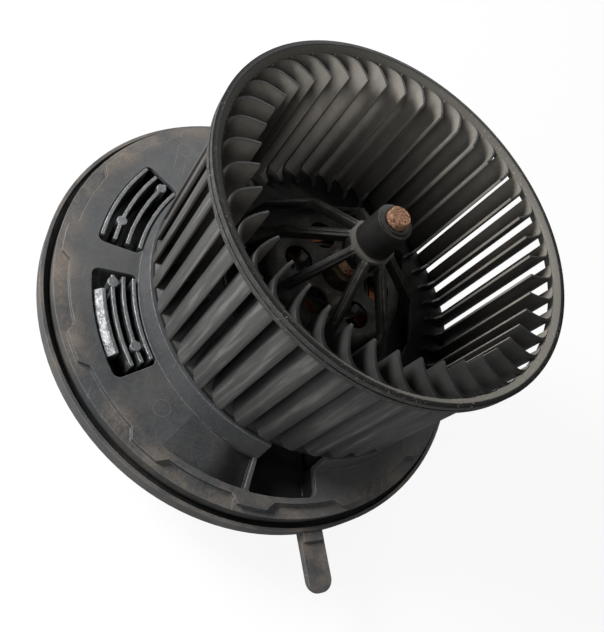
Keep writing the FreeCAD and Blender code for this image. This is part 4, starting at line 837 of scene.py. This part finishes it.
def paint(piece, key):
    piece.data.materials.clear()
    piece.data.materials.append(MATERIALS[key])


# Mesh helpers


def finish_piece(bm, name, material, body, sharp=35.0):
    """Mesh object from a bmesh about the fan's axis, shaded smooth up to an angle, riding on a body."""
    bmesh.ops.translate(bm, verts=bm.verts, vec=(FAN_X, 0, 0))
    mesh = bpy.data.meshes.new(name)
    bm.to_mesh(mesh)
    bm.free()
    for polygon in mesh.polygons:
        polygon.use_smooth = True
    mesh.set_sharp_from_angle(angle=math.radians(sharp))
    piece = bpy.data.objects.new(name, mesh)
    bpy.context.scene.collection.objects.link(piece)
    paint(piece, material)
    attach(piece, body)
    return piece


def bevel_sharp(bm, width, angle=40.0):
    """Rounds the edges that turn by more than an angle."""
    edges = [edge for edge in bm.edges
             if len(edge.link_faces) == 2 and edge.calc_face_angle(0.0) > math.radians(angle)]
    bmesh.ops.bevel(bm, geom=edges, offset=width, offset_type="OFFSET", segments=2, profile=0.5,
                    affect="EDGES", material=-1, clamp_overlap=True)


def turned_solid(bm, profile, steps=TURNED_STEPS):
    """Full spin of a closed profile of radius and height, about the fan's axis."""
    rim = [bm.verts.new((radius, 0, height)) for radius, height in profile]
    loop = [bm.edges.new((rim[index - 1], rim[index])) for index in range(len(rim))]
    bmesh.ops.spin(bm, geom=rim + loop, cent=ORIGIN, axis=AXIS, angle=TURN, steps=steps, use_merge=True)
    bmesh.ops.recalc_face_normals(bm, faces=bm.faces)


def everything(bm):
    return bm.verts[:] + bm.edges[:] + bm.faces[:]


def turn_all(bm, angle):
    bmesh.ops.rotate(bm, verts=bm.verts, cent=ORIGIN, matrix=Matrix.Rotation(angle, 3, "Z"))


def copies_around(bm, count):
    """Copies of everything, spread round the fan's axis."""
    bmesh.ops.spin(bm, geom=everything(bm), cent=ORIGIN, axis=AXIS, angle=TURN * (count - 1) / count,
                   steps=count - 1, use_duplicate=True)


def pull(bm, faces, offset):
    """Solid from faces and their copies at an offset."""
    pulled = bmesh.ops.extrude_face_region(bm, geom=faces)
    moved = [item for item in pulled["geom"] if isinstance(item, bmesh.types.BMVert)]
    bmesh.ops.translate(bm, verts=moved, vec=offset)


def upright_plate(bm, side, width):
    """Plate standing on the X axis: a side view of radius and height, given a width along Y."""
    face = bm.faces.new([bm.verts.new((radius, -0.5 * width, height)) for radius, height in side])
    pull(bm, [face], (0, width, 0))


# Operators


class BLOWER_OT_finishes(bpy.types.Operator):
    """Gives each carried-over part its finish"""

    bl_idname = "blower.finishes"
    bl_label = "Finishes"

    def execute(self, context):
        make_groups()
        MATERIALS.update(make_materials(context.scene.blower_finish))
        for name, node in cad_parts.items():
            paint(node, MATERIAL_OF_NODE[name])
        return {"FINISHED"}


class BLOWER_OT_blades(bpy.types.Operator):
    """Builds one curved blade with its foot and copies it round the drum"""

    bl_idname = "blower.blades"
    bl_label = "Blades"

    def execute(self, context):
        sizes = context.scene.blower_drum
        bm = bmesh.new()
        half = 0.5 * sizes.blade_thickness
        low, high = sizes.bottom, sizes.top - BLADE_TOP_DROP
        corners = ((-half, low), (half, low), (half, high), (-half, high))
        bm.faces.new([bm.verts.new((0, side, height)) for side, height in corners])
        entry, turned = sizes.blade_entry_curve, sizes.blade_entry_sweep
        made = bmesh.ops.spin(bm, geom=everything(bm), cent=(0, entry, 0), axis=AXIS, angle=turned,
                              steps=BLADE_ENTRY_STEPS)
        outward = Vector((math.sin(turned), -math.cos(turned), 0))
        middle = Vector((0, entry, 0)) + (entry - sizes.blade_curve) * outward
        bmesh.ops.spin(bm, geom=made["geom_last"], cent=middle, axis=AXIS, angle=sizes.blade_sweep,
                       steps=BLADE_STEPS)
        turn_all(bm, sizes.blade_inlet)
        bmesh.ops.translate(bm, verts=bm.verts, vec=(sizes.blade_root, 0, 0))
        self.shape_ends(bm, sizes)
        self.foot(bm, sizes)
        bmesh.ops.recalc_face_normals(bm, faces=bm.faces)
        bevel_sharp(bm, BLADE_EDGE)
        turn_all(bm, sizes.blade_phase)
        copies_around(bm, sizes.blade_count)
        blades = finish_piece(bm, "drum_blades", "drum", "rotor", sharp=30)
        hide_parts("impeller")
        return {"FINISHED"}

    def shape_ends(self, bm, sizes):
        """Sinks the lower end in the sloping base ring, and lets the upper end fall towards the tip."""
        slope = (sizes.plate - sizes.bottom - BASE_RIM) / (BASE_OUTER - BASE_SHOULDER)
        for vert in bm.verts:
            reach = vert.co.xy.length
            if vert.co.z < sizes.plate:
                vert.co.z = sizes.plate - BLADE_SINK - slope * (reach - BASE_SHOULDER)
            elif reach > TIP_FALL_START:
                vert.co.z -= TIP_FALL * (reach - TIP_FALL_START) ** 2

    def foot(self, bm, sizes):
        """Foot that runs inwards from the blade over the base ring."""
        root, plate = sizes.blade_root, sizes.plate
        side = (
            (root - FOOT_LENGTH, plate - FOOT_SINK),
            (root + FOOT_SINK, plate - FOOT_SINK),
            (root + FOOT_SINK, plate + 2 * FOOT_HEIGHT),
            (root, plate + 2 * FOOT_HEIGHT),
            (root - 0.3 * FOOT_LENGTH, plate + FOOT_HEIGHT),
            (root - FOOT_LENGTH, plate + 0.7 * FOOT_HEIGHT),
        )
        upright_plate(bm, side, sizes.blade_thickness)


class BLOWER_OT_rings(bpy.types.Operator):
    """Turns the inlet ring with its groove, and the sloping base ring"""

    bl_idname = "blower.rings"
    bl_label = "Rings"

    def execute(self, context):
        sizes = context.scene.blower_drum
        outer, top = sizes.radius, sizes.top
        inner, under = outer - RING_WALL, top - RING_HEIGHT
        middle, half = 0.5 * (top + under), 0.5 * GROOVE_HEIGHT
        ring = bmesh.new()
        turned_solid(ring, (
            (inner, under), (outer, under),
            (outer, middle - half), (outer - GROOVE_DEPTH, middle - half),
            (outer - GROOVE_DEPTH, middle + half), (outer, middle + half), (outer, top),
            (outer - RING_TOP_WIDTH, top), (inner, under + RING_FOOT_HEIGHT),
        ))
        bevel_sharp(ring, RING_EDGE)
        piece = finish_piece(ring, "drum_inlet_ring", "ring", "rotor")
        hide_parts("impeller")
        plate, bottom = sizes.plate, sizes.bottom
        base = bmesh.new()
        turned_solid(base, (
            (BASE_INNER, plate - BASE_THICKNESS),
            (BASE_SHOULDER - BASE_SHOULDER_INSET, plate - BASE_THICKNESS),
            (BASE_OUTER - BASE_RIM_WIDTH, bottom), (BASE_OUTER, bottom), (BASE_OUTER, bottom + BASE_RIM),
            (BASE_SHOULDER, plate), (BASE_INNER + LIP_WIDTH, plate),
            (BASE_INNER + LIP_WIDTH, plate + LIP_HEIGHT), (BASE_INNER, plate + LIP_HEIGHT),
        ))
        bevel_sharp(base, BASE_EDGE)
        piece = finish_piece(base, "drum_base_ring", "base", "rotor")
        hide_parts("impeller")
        return {"FINISHED"}


class BLOWER_OT_spider(bpy.types.Operator):
    """Builds the boss, its eight-sided collar and the spokes that drop to the base ring"""

    bl_idname = "blower.spider"
    bl_label = "Spider"

    def execute(self, context):
        sizes = context.scene.blower_drum
        bm = bmesh.new()
        turned_solid(bm, (
            (SHAFT_BORE, BOSS_TOP - BOSS_LENGTH), (BOSS_BASE, BOSS_TOP - BOSS_LENGTH),
            (BOSS_BASE, sizes.collar), (BOSS_NECK, BOSS_TOP), (BOSS_LIP, BOSS_TOP),
            (BOSS_LIP, BOSS_TOP + BOSS_LIP_HEIGHT), (SHAFT_BORE, BOSS_TOP + BOSS_LIP_HEIGHT),
        ), steps=BOSS_STEPS)
        made = bmesh.ops.create_circle(bm, cap_ends=True, segments=sizes.spoke_count,
                                       radius=COLLAR_RADIUS)
        bmesh.ops.translate(bm, verts=made["verts"], vec=(0, 0, sizes.collar - COLLAR_DEPTH))
        lid = list({face for vert in made["verts"] for face in vert.link_faces})
        pull(bm, lid, (0, 0, COLLAR_DEPTH))
        arm = bmesh.new()
        self.spoke(arm, sizes)
        copies_around(arm, sizes.spoke_count)
        mesh = bpy.data.meshes.new("arms")
        arm.to_mesh(mesh)
        arm.free()
        bm.from_mesh(mesh)
        bpy.data.meshes.remove(mesh)
        bmesh.ops.recalc_face_normals(bm, faces=bm.faces)
        bevel_sharp(bm, SPIDER_EDGE, angle=28)
        turn_all(bm, sizes.spoke_phase)
        piece = finish_piece(bm, "drum_spider", "spider", "rotor")
        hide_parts("impeller")
        return {"FINISHED"}

    def spoke(self, bm, sizes):
        """Sloping arm with a rib on its back, and the wide leg below its shoulder."""
        shoulder, collar, plate = sizes.shoulder, sizes.collar, sizes.plate
        foot = BASE_INNER + 0.5 * LIP_WIDTH
        under = plate - BASE_THICKNESS
        start = BOSS_BASE - SPOKE_SINK
        upright_plate(bm, (
            (start, collar - SPOKE_DROP), (shoulder, SHOULDER_HEIGHT), (foot, plate), (foot, under),
            (foot - 0.8 * SPOKE_DEPTH, under),
            (shoulder - 0.45 * SPOKE_DEPTH, SHOULDER_HEIGHT - 0.75 * SPOKE_DEPTH),
            (start, collar - SPOKE_DEPTH),
        ), SPOKE_WIDTH)
        upright_plate(bm, (
            (COLLAR_RADIUS - SPOKE_SINK, collar - RIB_DROP), (shoulder, SHOULDER_HEIGHT + RIB_HEIGHT),
            (shoulder, SHOULDER_HEIGHT - RIB_END), (COLLAR_RADIUS - SPOKE_SINK, collar - RIB_ROOT),
        ), RIB_WIDTH)
        corners = []
        for radius, width, low, high in (
            (shoulder, SPOKE_WIDTH, SHOULDER_HEIGHT - SPOKE_DEPTH, SHOULDER_HEIGHT - 0.2 * SPOKE_DEPTH),
            (foot, FLARE_WIDTH, under, plate),
        ):
            for side in (-0.5, 0.5):
                corners += [bm.verts.new((radius, side * width, height)) for height in (low, high)]
        bmesh.ops.convex_hull(bm, input=corners)


class BLOWER_OT_stage(bpy.types.Operator):
    """Sets the camera, the lamps and a pale floor"""

    bl_idname = "blower.stage"
    bl_label = "Stage"

    def execute(self, context):
        settings = context.scene.blower_stage
        self.camera(context.scene, settings)
        self.floor(context.scene)
        self.world(context.scene)
        for name, place, size, share in LAMPS:
            self.lamp(name, place, size, settings.lamp_power * share)
        context.scene.view_settings.view_transform = "Standard"
        return {"FINISHED"}

    def camera(self, scene, settings):
        data = bpy.data.cameras.new("Camera")
        data.lens = settings.focal_length
        data.sensor_width = 36.0
        data.shift_x, data.shift_y = CAMERA_SHIFT
        data.clip_start, data.clip_end = CAMERA_CLIP
        camera = bpy.data.objects.new("Camera", data)
        scene.collection.objects.link(camera)
        turn = Matrix((CAMERA_RIGHT, -CAMERA_DOWN, -CAMERA_AHEAD)).transposed().to_4x4()
        camera.matrix_world = Matrix.Translation(CAMERA_PLACE) @ turn
        scene.camera = camera

    def floor(self, scene):
        bm = bmesh.new()
        bmesh.ops.create_grid(bm, x_segments=2, y_segments=2, size=FLOOR_SIZE)
        bmesh.ops.translate(bm, verts=bm.verts, vec=(0, 0, FLOOR_Z))
        mesh = bpy.data.meshes.new("Floor")
        bm.to_mesh(mesh)
        bm.free()
        floor = bpy.data.objects.new("Floor", mesh)
        scene.collection.objects.link(floor)
        material = bpy.data.materials.new("Pale floor")
        material.use_nodes = True
        tree = material.node_tree
        shader = tree.nodes["Principled BSDF"]
        shader.inputs["Roughness"].default_value = 0.9
        shader.inputs["Specular IOR Level"].default_value = 0.1
        glow = tree.nodes.new("ShaderNodeEmission")
        glow.inputs["Color"].default_value = WHITE
        seen = tree.nodes.new("ShaderNodeLightPath").outputs["Is Camera Ray"]
        tree.links.new(mixed(tree, seen, FLOOR_TONE, FLOOR_TONE_SEEN), shader.inputs["Base Color"])
        blend = tree.nodes.new("ShaderNodeMixShader")
        tree.links.new(times(tree, seen, FLOOR_GLOW), blend.inputs[0])
        tree.links.new(shader.outputs[0], blend.inputs[1])
        tree.links.new(glow.outputs[0], blend.inputs[2])
        tree.links.new(blend.outputs[0], tree.nodes["Material Output"].inputs["Surface"])
        floor.data.materials.append(material)

    def world(self, scene):
        world = bpy.data.worlds.new("Studio")
        scene.world = world
        world.use_nodes = True
        tree = world.node_tree
        back = tree.nodes["Background"]
        seen = tree.nodes.new("ShaderNodeLightPath").outputs["Is Camera Ray"]
        strength = ranged(tree, seen, 0.0, 1.0, to_low=WORLD_LIGHT, smooth=False)
        tree.links.new(strength, back.inputs["Strength"])
        back.inputs["Color"].default_value = WHITE

    def lamp(self, name, place, size, power):
        data = bpy.data.lights.new(name, "AREA")
        data.shape = "DISK"
        data.size = size
        data.energy = power
        lamp = bpy.data.objects.new(name, data)
        bpy.context.scene.collection.objects.link(lamp)
        turn = (LAMP_AIM - Vector(place)).to_track_quat("-Z", "Y").to_matrix().to_4x4()
        lamp.matrix_world = Matrix.Translation(place) @ turn


class BLOWER_PT_panel(bpy.types.Panel):
    """Lists the steps that dress the blower motor"""

    bl_idname = "BLOWER_PT_panel"
    bl_label = "Blower motor"
    bl_space_type = "VIEW_3D"
    bl_region_type = "UI"
    bl_category = "Blower"

    def draw(self, context):
        for settings in (context.scene.blower_drum, context.scene.blower_finish, context.scene.blower_stage):
            box = self.layout.box()
            for key in type(settings).__annotations__:
                box.prop(settings, key)
        for operator in OPERATORS:
            self.layout.operator(operator.bl_idname)


OPERATORS = (
    BLOWER_OT_finishes,
    BLOWER_OT_blades,
    BLOWER_OT_rings,
    BLOWER_OT_spider,
    BLOWER_OT_stage,
)
SETTINGS = {
    "blower_drum": BlowerDrumSettings,
    "blower_finish": BlowerFinishSettings,
    "blower_stage": BlowerStageSettings,
}


def register():
    for cls in (*SETTINGS.values(), *OPERATORS, BLOWER_PT_panel):
        bpy.utils.register_class(cls)
    for key, cls in SETTINGS.items():
        setattr(bpy.types.Scene, key, bpy.props.PointerProperty(type=cls))


def unregister():
    for key in SETTINGS:
        delattr(bpy.types.Scene, key)
    for cls in reversed((*SETTINGS.values(), *OPERATORS, BLOWER_PT_panel)):
        bpy.utils.unregister_class(cls)


def main():
    register()
    for operator in OPERATORS:
        group, name = operator.bl_idname.split(".")
        getattr(getattr(bpy.ops, group), name)()


if __name__ == "__main__":
    main()
